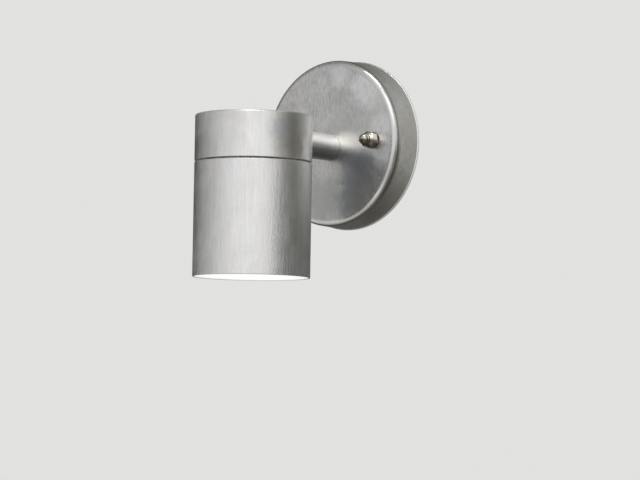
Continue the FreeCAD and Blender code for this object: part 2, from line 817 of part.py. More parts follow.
def lens_glass():
    """The flat glass, almost flush with the sleeve's rim."""
    disc = rod(lens_radius, lens_thickness, on_head_axis(lens_bottom))
    edges = edges_level(disc, 2, lens_bottom) + edges_level(disc, 2, lens_top)
    return disc.makeChamfer(lens_edge_chamfer, edges)


def lens_seal():
    """The silicone ring between glass and sleeve."""
    return ring(lens_radius, lens_radius - lens_seal_width, lens_seal_thickness, on_head_axis(lens_top))


def lamp_body():
    """The reflector-shaped lamp: base, flare and rim, recessed in front."""
    rim_top = lamp_rim_height - lamp_length
    flare_height = (-lamp_base_height + rim_top) / 2
    flare_radius = lamp_base_radius + lamp_flare_share * (lamp_front_radius - lamp_base_radius)
    outline = [
        (0, 0),
        (lamp_base_radius, 0),
        (lamp_base_radius, -lamp_base_height),
        ((flare_radius, flare_height), (lamp_front_radius, rim_top)),
        (lamp_front_radius, -lamp_length),
        (0, -lamp_length),
    ]
    body = turned(outline, on_head_axis(lamp_top))
    body = body.makeFillet(lamp_edge_radius, edges_level(body, 2, lamp_bottom))
    body = body.makeFillet(lamp_edge_radius, edges_level(body, 2, lamp_top))
    recess_height = lamp_front_recess + lamp_front_thickness
    recess = rod(lamp_front_radius - lamp_front_rim, recess_height, on_head_axis(lamp_bottom))
    return body.cut(recess)


def lamp_front():
    """The lamp's front cover."""
    base = on_head_axis(lamp_bottom + lamp_front_recess)
    return rod(lamp_front_radius - lamp_front_rim - seat_gap, lamp_front_thickness, base)


def lamp_pin(side):
    """A pin with a thin neck and a wide head."""
    base = on_head_axis(lamp_top) + right * (side * pin_circle_radius)
    neck_length = lamp_gap + holder_lip + pin_lip_clearance
    head = rounded_disc(pin_head_radius, pin_length - neck_length, base + up * neck_length, pin_edge_radius)
    return rod(pin_neck_radius, neck_length, base).fuse(head).removeSplitter()


def route_parts(points):
    """The straight runs and tangent arcs of a route, and the radius of each arc."""
    edges = []
    radii = []
    here = points[0]
    for before, corner, after in zip(points, points[1:], points[2:]):
        back = before - corner
        ahead = after - corner
        reach = lead_arc_share * min(back.Length, ahead.Length)
        half_angle = back.getAngle(ahead) / 2
        back.normalize()
        ahead.normalize()
        radius = reach * math.tan(half_angle)
        bisector = back + ahead
        bisector.normalize()
        middle = corner + bisector * (radius / math.sin(half_angle) - radius)
        start = corner + back * reach
        end = corner + ahead * reach
        edges.append(Part.makeLine(here, start))
        edges.append(Part.Arc(start, middle, end).toShape())
        radii.append(radius)
        here = end
    edges.append(Part.makeLine(here, points[-1]))
    return edges, radii


def lead(name, points):
    """An insulated lead along a route, and a line on its length, bends and volume."""
    edges, radii = route_parts(points)
    path = Part.Wire(edges)
    direction = points[1] - points[0]
    section = Part.Wire(Part.makeCircle(lead_radius, points[0], direction))
    tube = path.makePipeShell([section], True, False)
    length = path.Length
    share = tube.Volume / (math.pi * lead_radius ** 2 * length)
    smallest = min(radii)
    print(f"{name}: length {length:.1f}, smallest bend {smallest:.1f}, volume share {share:.4f}")
    return tube


def in_pipe(y, angle):
    """A point on one of the three lead lines through the pipe."""
    turn = math.radians(angle)
    return at(lead_circle_radius * math.cos(turn), y, arm_z + lead_circle_radius * math.sin(turn))


def power_lead(name, side, angle):
    """A lead from a terminal, through the arm, down into the lamp holder."""
    pole_x = block_centre_x + side * pole_pitch / 2
    mouth = in_pipe(pole_y + lead_radius, angle)
    head_mouth = in_pipe(pipe_head_end - mouth_run, angle)
    socket_x = side * pin_circle_radius
    socket = on_head_axis(holder_top - lead_socket_depth + press_gap) + right * socket_x
    above_socket = on_head_axis(holder_seat + holder_height + lead_bend_height) + right * socket_x
    half_way = (head_mouth + above_socket) / 2
    points = [
        at(pole_x, pole_y, block_top - block_height / 2),
        at(pole_x, pole_y, block_top + clamp_bend_height),
        mouth,
        head_mouth,
        at(half_way.x, half_way.y, above_socket.z),
        above_socket,
        socket,
    ]
    return lead(name, points)


def earth_lead():
    """The lead from the bracket's earth tag to the bridge's."""
    barrel_start = tag_barrel_start + tag_thickness
    barrel_end = tag_barrel_start + tag_barrel_length
    wall_tag = at(earth_screw_x, -bracket_thickness - tag_barrel_radius, earth_z)
    bridge_tag = on_head_axis(bridge_top + tag_barrel_radius) + right * bridge_earth_x
    points = [
        wall_tag + up * (barrel_start + press_gap),
        wall_tag + up * (barrel_end + mouth_run),
        in_pipe(pole_y + lead_radius, earth_angle),
        in_pipe(pipe_head_end - mouth_run, earth_angle),
        bridge_tag + inward * (barrel_end + mouth_run / 2),
        bridge_tag + inward * (barrel_start + press_gap),
    ]
    return lead("earth_lead", points)


def build():
    """Every piece by its name."""
    nuts, washers, bushes = pipe_fixings()
    return {
        "canopy": [canopy()],
        "wall_gasket": [wall_gasket()],
        "wall_bracket": [wall_bracket()],
        "cable_bush": [cable_bush()],
        "bracket_studs": [bracket_stud(side) for side in sides],
        "nut_seals": [nut_seal(side) for side in sides],
        "cap_nuts": [cap_nut(side, turn) for side, turn in zip(sides, nut_turns)],
        "terminal_block": [terminal_block()],
        "terminal_clamps": [terminal_clamp(side) for side in sides],
        "terminal_screws": [terminal_screw(side, z) for side in sides for z in clamp_screw_heights()],
        "block_screw": [block_screw()],
        "earth_screws": earth_screws(),
        "earth_tags": earth_tags(),
        "neutral_lead": [power_lead("neutral_lead", -1, neutral_angle)],
        "live_lead": [power_lead("live_lead", 1, live_angle)],
        "earth_lead": [earth_lead()],
        "arm_tube": [arm_tube()],
        "threaded_pipe": [threaded_pipe()],
        "pipe_nuts": nuts,
        "lock_washers": washers,
        "pipe_bushes": bushes,
        "saddle_washer": [saddle_washer()],
        "head_cap": [head_cap()],
        "spigot_collar": [spigot_collar()],
        "collar_screws": [collar_screw(side) for side in sides],
        "seam_seal": [seam_seal()],
        "o_ring": [o_ring()],
        "holder_bridge": [holder_bridge()],
        "lamp_holder": [lamp_holder()],
        "holder_screws": [holder_screw(side) for side in sides],
        "holder_contacts": [holder_contact(side) for side in sides],
        "sleeve": [sleeve()],
        "lens_seal": [lens_seal()],
        "lens_glass": [lens_glass()],
        "lamp_body": [lamp_body()],
        "lamp_front": [lamp_front()],
        "lamp_pins": [lamp_pin(side) for side in sides],
    }


os.makedirs("parts", exist_ok=True)
for node, solids in build().items():
    shape = solids[0] if len(solids) == 1 else Part.makeCompound(solids)
    shape.exportStep(f"parts/{node}.step")
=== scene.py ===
"""The looks of an outdoor wall downlight in galvanised steel: its finishes, shells, light and camera."""

import logging
import math
from dataclasses import dataclass, field
from enum import Enum
from functools import reduce
from typing import Callable, ClassVar, Sequence

import bmesh
import bpy
from mathutils import Matrix, Vector

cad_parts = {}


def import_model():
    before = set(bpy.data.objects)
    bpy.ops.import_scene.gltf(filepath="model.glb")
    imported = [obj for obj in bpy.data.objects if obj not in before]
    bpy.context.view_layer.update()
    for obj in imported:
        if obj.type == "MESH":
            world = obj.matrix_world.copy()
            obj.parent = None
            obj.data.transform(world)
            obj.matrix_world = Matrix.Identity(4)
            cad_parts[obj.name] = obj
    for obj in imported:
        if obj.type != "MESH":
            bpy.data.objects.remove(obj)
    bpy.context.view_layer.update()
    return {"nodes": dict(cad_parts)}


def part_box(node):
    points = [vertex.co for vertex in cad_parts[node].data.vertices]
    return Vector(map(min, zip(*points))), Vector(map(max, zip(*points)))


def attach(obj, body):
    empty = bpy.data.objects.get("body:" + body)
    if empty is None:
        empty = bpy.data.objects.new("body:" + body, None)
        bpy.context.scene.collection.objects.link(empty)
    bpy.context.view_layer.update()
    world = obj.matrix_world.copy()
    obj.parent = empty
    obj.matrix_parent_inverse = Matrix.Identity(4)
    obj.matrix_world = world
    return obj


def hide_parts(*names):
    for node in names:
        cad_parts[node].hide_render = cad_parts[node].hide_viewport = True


log = logging.getLogger("wall_downlight")

MM = 0.001
Colour = tuple[float, float, float]
Place = tuple[float, float, float]
Pair = tuple[float, float]
Ramp = tuple[float, ...]
Inputs = dict[str | int, object]
Socket = bpy.types.NodeSocket
Skin = tuple[Socket, Socket]
Outputs = bpy.types.NodeOutputs
Material = bpy.types.Material
Object = bpy.types.Object
Mesh = bmesh.types.BMesh


class Axis(Enum):
    """The way a turned piece points."""

    OUT = Vector((0, -1, 0))
    UP = Vector((0, 0, 1))

    def stand(self, base: Vector) -> Matrix:
        """What puts a shape that runs up from the origin on a base, along this axis."""
        turn = Vector((0, 0, 1)).rotation_difference(self.value)
        return Matrix.Translation(base) @ turn.to_matrix().to_4x4()


class Body(Enum):
    """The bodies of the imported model."""

    FIXTURE = "fixture"
    SLEEVE = "sleeve"
    LAMP = "lamp"


# Shader tools


class Graph:
    """Adds nodes to one node tree and links them."""

    NOISE_SPAN = (0.2, 0.8)

    def __init__(self, tree: bpy.types.NodeTree) -> None:
        """Starts from an empty tree.

        Args:
            tree: The tree of a material, world or group.
        """
        self.tree = tree
        self.place: Socket | None = None
        tree.nodes.clear()

    def add(self, kind: str, inputs: Inputs | None = None, **settings: object) -> bpy.types.Node:
        """Adds a node.

        Args:
            kind: The node's type without the ShaderNode prefix.
            inputs: Values or sockets by input name or place.
            **settings: Attributes of the node itself, set before its inputs.

        Returns:
            The new node.
        """
        prefix = "" if kind.startswith("Node") else "ShaderNode"
        node = self.tree.nodes.new(prefix + kind)
        for name, value in settings.items():
            setattr(node, name, value)
        for name, value in (inputs or {}).items():
            self.feed(node.inputs[name], value)
        return node

    def feed(self, socket: Socket, value: object) -> None:
        """Links a socket to another, or sets its value. A colour gets an alpha of 1.

        Args:
            socket: The input.
            value: A socket, or what the input is set to.
        """
        if isinstance(value, Socket):
            self.tree.links.new(value, socket)
        elif socket.type == "RGBA":
            socket.default_value = (*value, 1.0)
        else:
            socket.default_value = value

    def math(self, operation: str, *values: object, clamp: bool = False) -> Socket:
        """A Math node's result."""
        return self.add("Math", dict(enumerate(values)), operation=operation, use_clamp=clamp).outputs[0]

    def scaled(self, value: object, share: object, base: object) -> Socket:
        """A value times a share, added to a base."""
        return self.math("MULTIPLY_ADD", value, share, base)

    def product(self, *values: object) -> Socket:
        """All values multiplied."""
        return reduce(lambda first, second: self.math("MULTIPLY", first, second), values)

    def hypotenuse(self, *sides: object) -> Socket:
        """The length over two sides at a right angle."""
        return self.math("SQRT", self.math("ADD", *(self.math("POWER", side, 2.0) for side in sides)))

    def vector(self, operation: str, *values: object) -> Socket:
        """A Vector Math node's vector."""
        return self.add("VectorMath", dict(enumerate(values)), operation=operation).outputs["Vector"]

    def measure(self, operation: str, *values: object) -> Socket:
        """A Vector Math node's number, such as a LENGTH."""
        return self.add("VectorMath", dict(enumerate(values)), operation=operation).outputs["Value"]

    def parts(self, vector: Socket | None = None) -> Outputs:
        """The X, Y and Z of a vector, or else of the place."""
        return self.add("SeparateXYZ", {"Vector": vector or self.place}).outputs

    def ramp(self, value: object, low: object, high: object, start: float = 0.0, end: float = 1.0) -> Socket:
        """Maps a value from low..high to start..end with soft ends."""
        inputs = {"Value": value, "From Min": low, "From Max": high, "To Min": start, "To Max": end}
        return self.add("MapRange", inputs, interpolation_type="SMOOTHSTEP").outputs["Result"]

    def mix(self, share: object, first: object, second: object, blend: str = "MIX") -> Socket:
        """A colour between two others."""
        inputs = {"Factor": share, "A": first, "B": second}
        return self.add("Mix", inputs, data_type="RGBA", blend_type=blend).outputs["Result"]

    def noise(self, scale: object, detail: float = 3.0, roughness: float = 0.55, **changed: object) -> Socket:
        """A noise value at the place, in cycles to the metre."""
        inputs = {"Vector": self.place, "Scale": scale, "Detail": detail, "Roughness": roughness}
        return self.add("TexNoise", inputs | changed).outputs["Fac"]

    def spread(self, noise: Socket, low: float, high: float) -> Socket:
        """Noise that is spread between two levels."""
        return self.ramp(noise, *self.NOISE_SPAN, low, high)

    def weighted(self, *rows: tuple[object, float]) -> Socket:
        """The sum of values, each times its share.

        Args:
            *rows: Each value with its share.

        Returns:
            The sum.
        """
        total = 0.0
        for value, share in rows:
            total = self.scaled(value, share, total)
        return total

    def bump(self, height: object, depth: float) -> Socket:
        """The normal of a relief whose height of 1 stands for a depth in metres."""
        return self.add("Bump", {"Height": height, "Distance": depth, "Strength": 1.0}).outputs["Normal"]

    def glow(self, colour: Colour, strength: object) -> Socket:
        """An Emission shader."""
        return self.add("Emission", {"Color": colour, "Strength": strength}).outputs[0]

    def clear_behind(self, front: Socket) -> Socket:
        """A shader on the front of a face, and a clear back.

        Args:
            front: The shader of the front.

        Returns:
            The shader of both sides.
        """
        behind = self.add("NewGeometry").outputs["Backfacing"]
        clear = self.add("BsdfTransparent").outputs[0]
        return self.add("MixShader", {0: behind, 1: front, 2: clear}).outputs[0]

    def show(self, shader: Socket) -> None:
        """Makes a shader the material's surface."""
        self.add("OutputMaterial", {"Surface": shader})


def new_material(title: str) -> tuple[Material, Graph]:
    """A material and its graph, which starts from the place on the piece in metres.

    Args:
        title: The material's name.

    Returns:
        The material and its graph.
    """
    material = bpy.data.materials.new(title)
    material.use_nodes = True
    graph = Graph(material.node_tree)
    graph.place = graph.add("TexCoord").outputs["Object"]
    return material, graph


class Effect:
    """A node group that several finishes share, built when it is first used."""

    title: ClassVar[str]
    points: ClassVar[tuple[str, ...]] = ("Place",)
    numbers: ClassVar[tuple[str, ...]]
    outputs: ClassVar[tuple[str, ...]]

    @classmethod
    def tree(cls) -> bpy.types.NodeTree:
        """The group's tree, built once. All its outputs are numbers.

        Returns:
            The tree.
        """
        found = bpy.data.node_groups.get(cls.title)
        if found:
            return found
        made = bpy.data.node_groups.new(cls.title, "ShaderNodeTree")
        given = (("INPUT", "Vector", cls.points), ("INPUT", "Float", cls.numbers))
        for side, kind, names in (*given, ("OUTPUT", "Float", cls.outputs)):
            for name in names:
                made.interface.new_socket(name, in_out=side, socket_type="NodeSocket" + kind)
        graph = Graph(made)
        source = graph.add("NodeGroupInput").outputs
        graph.place = source["Place"]
        graph.add("NodeGroupOutput", cls.build(graph, source))
        return made

    @classmethod
    def build(cls, graph: Graph, given: Outputs) -> Inputs:
        """Makes the group's nodes.

        Args:
            graph: The group's graph.
            given: The group's inputs.

        Returns:
            What each output of the group is fed.
        """
        raise NotImplementedError

    @classmethod
    def use(cls, graph: Graph, **values: object) -> Outputs:
        """Puts the group in a material.

        Args:
            graph: The material's graph, whose place the group gets.
            **values: The group's other inputs, with a low line for a space.

        Returns:
            The group's outputs.
        """
        node = graph.add("Group", node_tree=cls.tree())
        for name, value in {"Place": graph.place, **values}.items():
            graph.feed(node.inputs[name.replace("_", " ")], value)
        return node.outputs


class ZincCrystals(Effect):
    """The cloudy crystals of a hot-dip zinc coat."""

    title = "zinc crystals"
    numbers = ("Density",)
    outputs = ("Tone",)
    DRIFT_NOISE = {"Scale": 210.0, "Detail": 4.0}
    RAGGEDNESS = 9 * MM
    BORDER_SOFTNESS = 0.35
    DENSITIES_AND_SHARES = ((1.0, 0.62), (2.7, 0.38))

    @classmethod
    def build(cls, graph: Graph, given: Outputs) -> Inputs:
        """Two sizes of crystals with ragged borders.

        Args:
            graph: The group's graph.
            given: The group's inputs.

        Returns:
            What each output of the group is fed.
        """
        drift = graph.add("TexNoise", {"Vector": graph.place, **cls.DRIFT_NOISE}).outputs["Color"]
        ragged = graph.vector("MULTIPLY_ADD", drift, (cls.RAGGEDNESS,) * 3, graph.place)
        rows = []
        for step, share in cls.DENSITIES_AND_SHARES:
            density = graph.product(given["Density"], step)
            inputs = {"Vector": ragged, "Scale": density, "Smoothness": cls.BORDER_SOFTNESS}
            cells = graph.add("TexVoronoi", inputs, feature="SMOOTH_F1").outputs["Color"]
            rows.append((graph.add("SeparateColor", {"Color": cells}).outputs[0], share))
        return {"Tone": graph.weighted(*rows)}


class DrawnStreaks(Effect):
    """Fine upright streaks, as drawn or wiped metal has."""

    title = "drawn streaks"
    numbers = ("Density", "Length")
    outputs = ("Tone",)
    CONTRAST = (0.3, 0.7)

    @classmethod
    def build(cls, graph: Graph, given: Outputs) -> Inputs:
        """Noise that is stretched along Z.

        Args:
            graph: The group's graph.
            given: The group's inputs.

        Returns:
            What each output of the group is fed.
        """
        squeeze = graph.math("DIVIDE", 1.0, given["Length"])
        scale = graph.add("CombineXYZ", {"X": 1.0, "Y": 1.0, "Z": squeeze}).outputs[0]
        stretched = graph.vector("MULTIPLY", graph.place, scale)
        fine = graph.noise(given["Density"], 5.0, 0.62, Vector=stretched)
        return {"Tone": graph.ramp(fine, *cls.CONTRAST)}


class CloudMask(Effect):
    """Soft clouds with broken borders, for tarnish, dust and cloudy tones."""

    title = "cloud mask"
    numbers = ("Density", "Cover")
    outputs = ("Mask",)
    BARE_LEVEL = 0.78
    SOFTNESS = 0.12

    @classmethod
    def build(cls, graph: Graph, given: Outputs) -> Inputs:
        """Noise cut at a level that the cover sets.

        Args:
            graph: The group's graph.
            given: The group's inputs.

        Returns:
            What each output of the group is fed.
        """
        wide = graph.noise(given["Density"], 6.0, 0.6)
        level = graph.math("SUBTRACT", cls.BARE_LEVEL, graph.product(given["Cover"], 0.5))
        low, high = (graph.math("ADD", level, step) for step in (-cls.SOFTNESS, cls.SOFTNESS))
        return {"Mask": graph.ramp(wide, low, high)}

    @classmethod
    def mask(cls, graph: Graph, density: float, cover: float) -> Socket:
        """The clouds of so many to the metre that cover about so much."""
        return cls.use(graph, Density=density, Cover=cover)["Mask"]


class SpotMask(Effect):
    """A ragged patch about one point of the piece, used for stains and for painted reflections and painted
    light.
    """

    title = "stain spot"
    points = ("Place", "Centre")
    numbers = ("Reach",)
    outputs = ("Mask",)
    RAGGEDNESS = 0.9
    FADE = (0.35, 1.05, 1.0, 0.0)

    @classmethod
    def build(cls, graph: Graph, given: Outputs) -> Inputs:
        """Distance from the centre, broken by noise.

        Args:
            graph: The group's graph.
            given: The group's inputs.

        Returns:
            What each output of the group is fed.
        """
        away = graph.measure("DISTANCE", graph.place, given["Centre"])
        far = graph.math("DIVIDE", away, given["Reach"])
        ragged = graph.scaled(graph.noise(240.0, 5.0), cls.RAGGEDNESS, -cls.RAGGEDNESS / 2)
        return {"Mask": graph.ramp(graph.math("ADD", far, ragged), *cls.FADE)}


class RimPolishAndPaintedLight(Effect):
    """The rubbed front edge of the dish, with a painted highlight on its lower crest and on the bead at the
    wall, and painted shade behind the edge and down the side.

    Crest, painted shade and side shade start and end at shares of the edge's width, down the side from the
    face.
    """

    title = "rim polish and painted light"
    numbers = ("Radius", "Depth", "Width")
    outputs = ("Mask", "Crest", "PaintedShade", "Bead")
    RUBBED = (0.75, 1.1, 1.0, 0.0)
    TO_THE_RIGHT = (-12 * MM, 16 * MM)
    # Where the painted highlight on the lower crest lies, across the edge and down the dish.
    CREST = ((0.02, 0.08), (0.2, 0.42, 1.0, 0.0))
    CREST_DOWN_THE_DISH = (-20 * MM, -30 * MM)
    # Where the painted shade behind the edge lies, on the lower right of the dish.
    PAINTED_SHADE = ((0.13, 0.34), (0.85, 1.7, 1.0, 0.0))
    PAINTED_SHADE_DOWN_THE_DISH = ((4 * MM, -9 * MM, 0.25, 1.0), (-36 * MM, -24 * MM, 0.4, 1.0))
    # Painted shade down the side towards the wall.
    SIDE_SHADE = (0.45, 0.95, 0.0, 0.24)
    # The bead at the wall, which gets a painted highlight.
    BEAD_OFF_THE_WALL = (-1.7 * MM, -1.3 * MM)

    @classmethod
    def build(cls, graph: Graph, given: Outputs) -> Inputs:
        """How near a point is to the circle where face and side would meet, and how far down the side.

        Args:
            graph: The group's graph.
            given: The group's inputs.

        Returns:
            What each output of the group is fed.
        """
        part = graph.parts()
        across = graph.math("SUBTRACT", graph.hypotenuse(part["X"], part["Z"]), given["Radius"])
        along = graph.math("ADD", part["Y"], given["Depth"])
        ragged = graph.scaled(graph.noise(420.0, 4.0), 0.5, 0.75)
        width = graph.product(given["Width"], ragged)
        away = graph.math("DIVIDE", graph.hypotenuse(across, along), width)
        down = graph.math("DIVIDE", along, width)
        right = graph.ramp(part["X"], *cls.TO_THE_RIGHT)
        crest = [graph.ramp(down, *ends) for ends in cls.CREST]
        rim_shade = [graph.ramp(down, *ends) for ends in cls.PAINTED_SHADE]
        rim_shade += [graph.ramp(part["Z"], *ends) for ends in cls.PAINTED_SHADE_DOWN_THE_DISH]
        return {
            "Mask": graph.product(graph.ramp(away, *cls.RUBBED), right),
            "Crest": graph.product(*crest, graph.ramp(part["Z"], *cls.CREST_DOWN_THE_DISH)),
            "PaintedShade": graph.math("MAXIMUM", graph.product(*rim_shade, right), graph.ramp(down, *cls.SIDE_SHADE)),
            "Bead": graph.ramp(part["Y"], *cls.BEAD_OFF_THE_WALL),
        }


class CoatRelief(Effect):
    """The low waves and fine grain of a metal coat, as a height."""

    title = "coat relief"
    numbers = ("Waves", "Grain")
    outputs = ("Height",)

    @classmethod
    def build(cls, graph: Graph, given: Outputs) -> Inputs:
        """Waves of some millimetres and grain of a fraction of one."""
        waves = graph.product(graph.noise(95.0, 2.0), given["Waves"])
        return {"Height": graph.scaled(graph.noise(1900.0), given["Grain"], waves)}


class TurningMarks(Effect):
    """The fine rings that a lathe leaves about the head's axis."""

    title = "turning marks"
    numbers = ("Axis Y", "Pitch")
    outputs = ("Height",)

    @classmethod
    def build(cls, graph: Graph, given: Outputs) -> Inputs:
        """A wave over the distance from the axis plus the height.

        Args:
            graph: The group's graph.
            given: The group's inputs.

        Returns:
            What each output of the group is fed.
        """
        part = graph.parts()
        radius = graph.hypotenuse(part["X"], graph.math("SUBTRACT", part["Y"], given["Axis Y"]))
        along = graph.math("DIVIDE", graph.math("ADD", radius, part["Z"]), given["Pitch"])
        wave = graph.math("SINE", graph.product(along, math.tau))
        return {"Height": graph.scaled(wave, 0.5, graph.noise(800.0))}


# Finishes


@dataclass(frozen=True)
class Finish:
    """A finish, which says what the inputs of the Principled BSDF are fed."""

    title: str

    def inputs(self, graph: Graph) -> Inputs:
        """Makes the finish's nodes.

        Args:
            graph: The material's graph.

        Returns:
            What each input is fed, by its name.
        """
        raise NotImplementedError

    def material(self) -> Material:
        """The finish's material.

        Returns:
            The material.
        """
        material, graph = new_material(self.title)
        surface = graph.add("BsdfPrincipled", self.inputs(graph))
        graph.show(surface.outputs[0])
        return material


@dataclass(frozen=True)
class StainOrPaintedLight:
    """One tinted patch of a galvanised shell, for stains and for painted reflections and painted light."""

    centre: Place
    reach: float
    tint: Colour
    strength_share: float


@dataclass(frozen=True)
class GalvanisedSteel(Finish):
    """Hot-dip zinc on steel: cloudy crystals, upright streaks and tarnish, with painted reflections, painted
    highlights and painted shade where asked.
    """

    tone: float
    smoothest: float
    roughest: float
    warm: Colour = (1.0, 0.985, 0.965)
    cool: Colour = (0.975, 0.99, 1.0)
    crystals_per_metre: float = 85.0
    crystal_share: float = 0.1
    streaks_per_metre: float = 900.0
    streak_share: float = 0.08
    streak_length: float = 14.0
    tints_per_metre: float = 160.0
    tint_length: float = 7.0
    clouds_per_metre: float = 34.0
    tarnish_cover: float = 0.35
    tarnish_share: float = 0.55
    tarnish: Colour = (0.64, 0.63, 0.6)
    wear_shares: tuple[float, float, float] = (0.3, 0.45, 0.35)
    wear_span: Pair = (0.15, 0.85)
    stains_and_painted_light: tuple[StainOrPaintedLight, ...] = ()
    patch_roughness: float = 0.08
    # Painted shade below a height: where it starts and ends, the raggedness of its edge and its colour. The
    # share after them sets the strength of this and of the rim's painted shade.
    shaded_below: Pair | None = None
    shade_raggedness: float = 0.9 * MM
    underside_shade: Colour = (0.1, 0.102, 0.1)
    shade_share: float = 0.85
    # The rubbed edge's radius, depth and width, which bring painted highlights and painted shade; after it
    # the rubbed edge's colour, a little darker than the coat and on the right of the dish only.
    edge_polish_and_painted_light: tuple[float, float, float] | None = None
    polish: Colour = (0.64, 0.64, 0.64)
    polish_share: float = 0.8
    polish_roughness: float = -0.07
    # The colour of the painted shade at the rim, and the painted highlight on the lower crest and on the bead
    # at the wall.
    rim_shade: Colour = (0.2, 0.19, 0.17)
    painted_highlight: Colour = (1.0, 0.99, 0.96)
    painted_highlight_share: float = 0.9
    bead_roughness: float = 0.12
    relief_depth: float = 0.12 * MM
    wave_share: float = 0.5
    grain_share: float = 0.018
    streak_height_share: float = 0.035
    dashes_per_metre: float = 1150.0
    dash_length: float = 2.8
    dash_height_share: float = 0.0

    def inputs(self, graph: Graph) -> Inputs:
        """The coat, and over it the tinted patches (stains, painted reflections and painted light), the
        painted shade below, and the rubbed edge with its painted highlights and painted shade.

        Args:
            graph: The material's graph.

        Returns:
            What each input is fed, by its name.
        """
        crystals = ZincCrystals.use(graph, Density=self.crystals_per_metre)["Tone"]
        streaks = self.streaks(graph, self.streaks_per_metre, self.streak_length)
        clouds = CloudMask.mask(graph, self.clouds_per_metre, self.tarnish_cover)
        level = self.tone - (self.crystal_share + self.streak_share) / 2
        tone = graph.scaled(crystals, self.crystal_share, level)
        tone = graph.scaled(streaks, self.streak_share, tone)
        grey = graph.add("CombineColor", {"Red": tone, "Green": tone, "Blue": tone}).outputs[0]
        broad = self.streaks(graph, self.tints_per_metre, self.tint_length)
        colour = graph.mix(1.0, grey, graph.mix(broad, self.warm, self.cool), "MULTIPLY")
        colour = graph.mix(graph.product(clouds, self.tarnish_share), colour, self.tarnish)
        wear = graph.weighted(*zip((streaks, crystals, clouds), self.wear_shares))
        roughness = graph.ramp(wear, *self.wear_span, self.smoothest, self.roughest)
        colour, roughness = self.stained_and_painted(graph, streaks, colour, roughness)
        # Painted shade: darker below a height, as if the underside were in shade.
        if self.shaded_below:
            ragged = graph.scaled(graph.noise(420.0), self.shade_raggedness, graph.parts()["Z"])
            underside_shade = graph.ramp(ragged, *self.shaded_below, 0.0, self.shade_share)
            colour = graph.mix(underside_shade, colour, self.underside_shade)
        if self.edge_polish_and_painted_light:
            colour, roughness = self.edged(graph, colour, roughness)
        normal = graph.bump(self.relief(graph, streaks), self.relief_depth)
        return {"Base Color": colour, "Roughness": roughness, "Metallic": 1.0, "Normal": normal}

    def streaks(self, graph: Graph, density: float, length: float) -> Socket:
        """Streaks of so many to the metre, so many times as long as wide."""
        return DrawnStreaks.use(graph, Density=density, Length=length)["Tone"]

    def stained_and_painted(self, graph: Graph, streaks: Socket, colour: Socket, roughness: Socket) -> Skin:
        """Colour and roughness under the tinted patches, which the streaks break up; some are stains, some
        painted reflections and painted light.

        Args:
            graph: The material's graph.
            streaks: The tone of the streaks.
            colour: The coat's colour so far.
            roughness: The coat's roughness so far.

        Returns:
            Both, with the tinted patches.
        """
        patchy = graph.scaled(streaks, 0.5, 0.75)
        for patch in self.stains_and_painted_light:
            mask = SpotMask.use(graph, Centre=patch.centre, Reach=patch.reach)["Mask"]
            mask = graph.math("MULTIPLY", graph.product(mask, patch.strength_share), patchy, clamp=True)
            colour = graph.mix(mask, colour, patch.tint)
            roughness = graph.scaled(mask, self.patch_roughness, roughness)
        return colour, roughness

    def edged(self, graph: Graph, colour: Socket, roughness: Socket) -> Skin:
        """Colour and roughness with the rubbed edge, its painted shade and its painted highlights.

        Args:
            graph: The material's graph.
            colour: The coat's colour so far.
            roughness: The coat's roughness so far.

        Returns:
            Both, with the edge.
        """
        radius, depth, width = self.edge_polish_and_painted_light
        rim = RimPolishAndPaintedLight.use(graph, Radius=radius, Depth=depth, Width=width)
        # Painted highlights on the lower crest and on the bead at the wall.
        highlit = graph.math("MAXIMUM", rim["Crest"], rim["Bead"])
        colour = graph.mix(graph.product(rim["Mask"], self.polish_share), colour, self.polish)
        # Painted shade behind the edge and down the side.
        colour = graph.mix(graph.product(rim["PaintedShade"], self.shade_share), colour, self.rim_shade)
        colour = graph.mix(graph.product(highlit, self.painted_highlight_share), colour, self.painted_highlight)
        roughness = graph.scaled(rim["Mask"], self.polish_roughness, roughness)
        return colour, graph.scaled(rim["Bead"], self.bead_roughness, roughness)

    def relief(self, graph: Graph, streaks: Socket) -> Socket:
        """The height of waves, grain, streaks and short dashes.

        Args:
            graph: The material's graph.
            streaks: The tone of the streaks.

        Returns:
            The height, in shares of the relief's depth.
        """
        height = CoatRelief.use(graph, Waves=self.wave_share, Grain=self.grain_share)["Height"]
        height = graph.scaled(streaks, self.streak_height_share, height)
        if self.dash_height_share > 0:
            dashes = self.streaks(graph, self.dashes_per_metre, self.dash_length)
            height = graph.scaled(dashes, self.dash_height_share, height)
        return height


@dataclass(frozen=True)
class PlatedMetal(Finish):
    """Bright plating with faint smears, such as nickel or zinc."""

    colour: Colour
    smear: Colour
    smoothest: float
    roughest: float
    wear_shares: Pair = (0.4, 0.6)
    wear_span: Pair = (0.1, 0.9)
    grain_depth: float = 0.02 * MM
    glancing_tint: Colour = (1.0, 1.0, 1.0)
    # Painted shade below a height: where it starts and ends, its colour and its strength.
    painted_shade_below: Pair | None = None
    painted_shade_tint: Colour = (0.1, 0.088, 0.064)
    painted_shade_share: float = 0.85

    def inputs(self, graph: Graph) -> Inputs:
        """Two tones in clouds, with painted shade below a height where asked.

        Args:
            graph: The material's graph.

        Returns:
            What each input is fed, by its name.
        """
        clouds = CloudMask.mask(graph, 260.0, 0.55)
        fine = graph.noise(2600.0)
        colour = graph.mix(clouds, self.colour, self.smear)
        if self.painted_shade_below:
            lower_shade = graph.ramp(graph.parts()["Z"], *self.painted_shade_below, 0.0, self.painted_shade_share)
            colour = graph.mix(lower_shade, colour, self.painted_shade_tint)
        wear = graph.weighted(*zip((fine, clouds), self.wear_shares))
        return {
            "Base Color": colour,
            "Roughness": graph.ramp(wear, *self.wear_span, self.smoothest, self.roughest),
            "Metallic": 1.0,
            "Specular Tint": self.glancing_tint,
            "Normal": graph.bump(fine, self.grain_depth),
        }


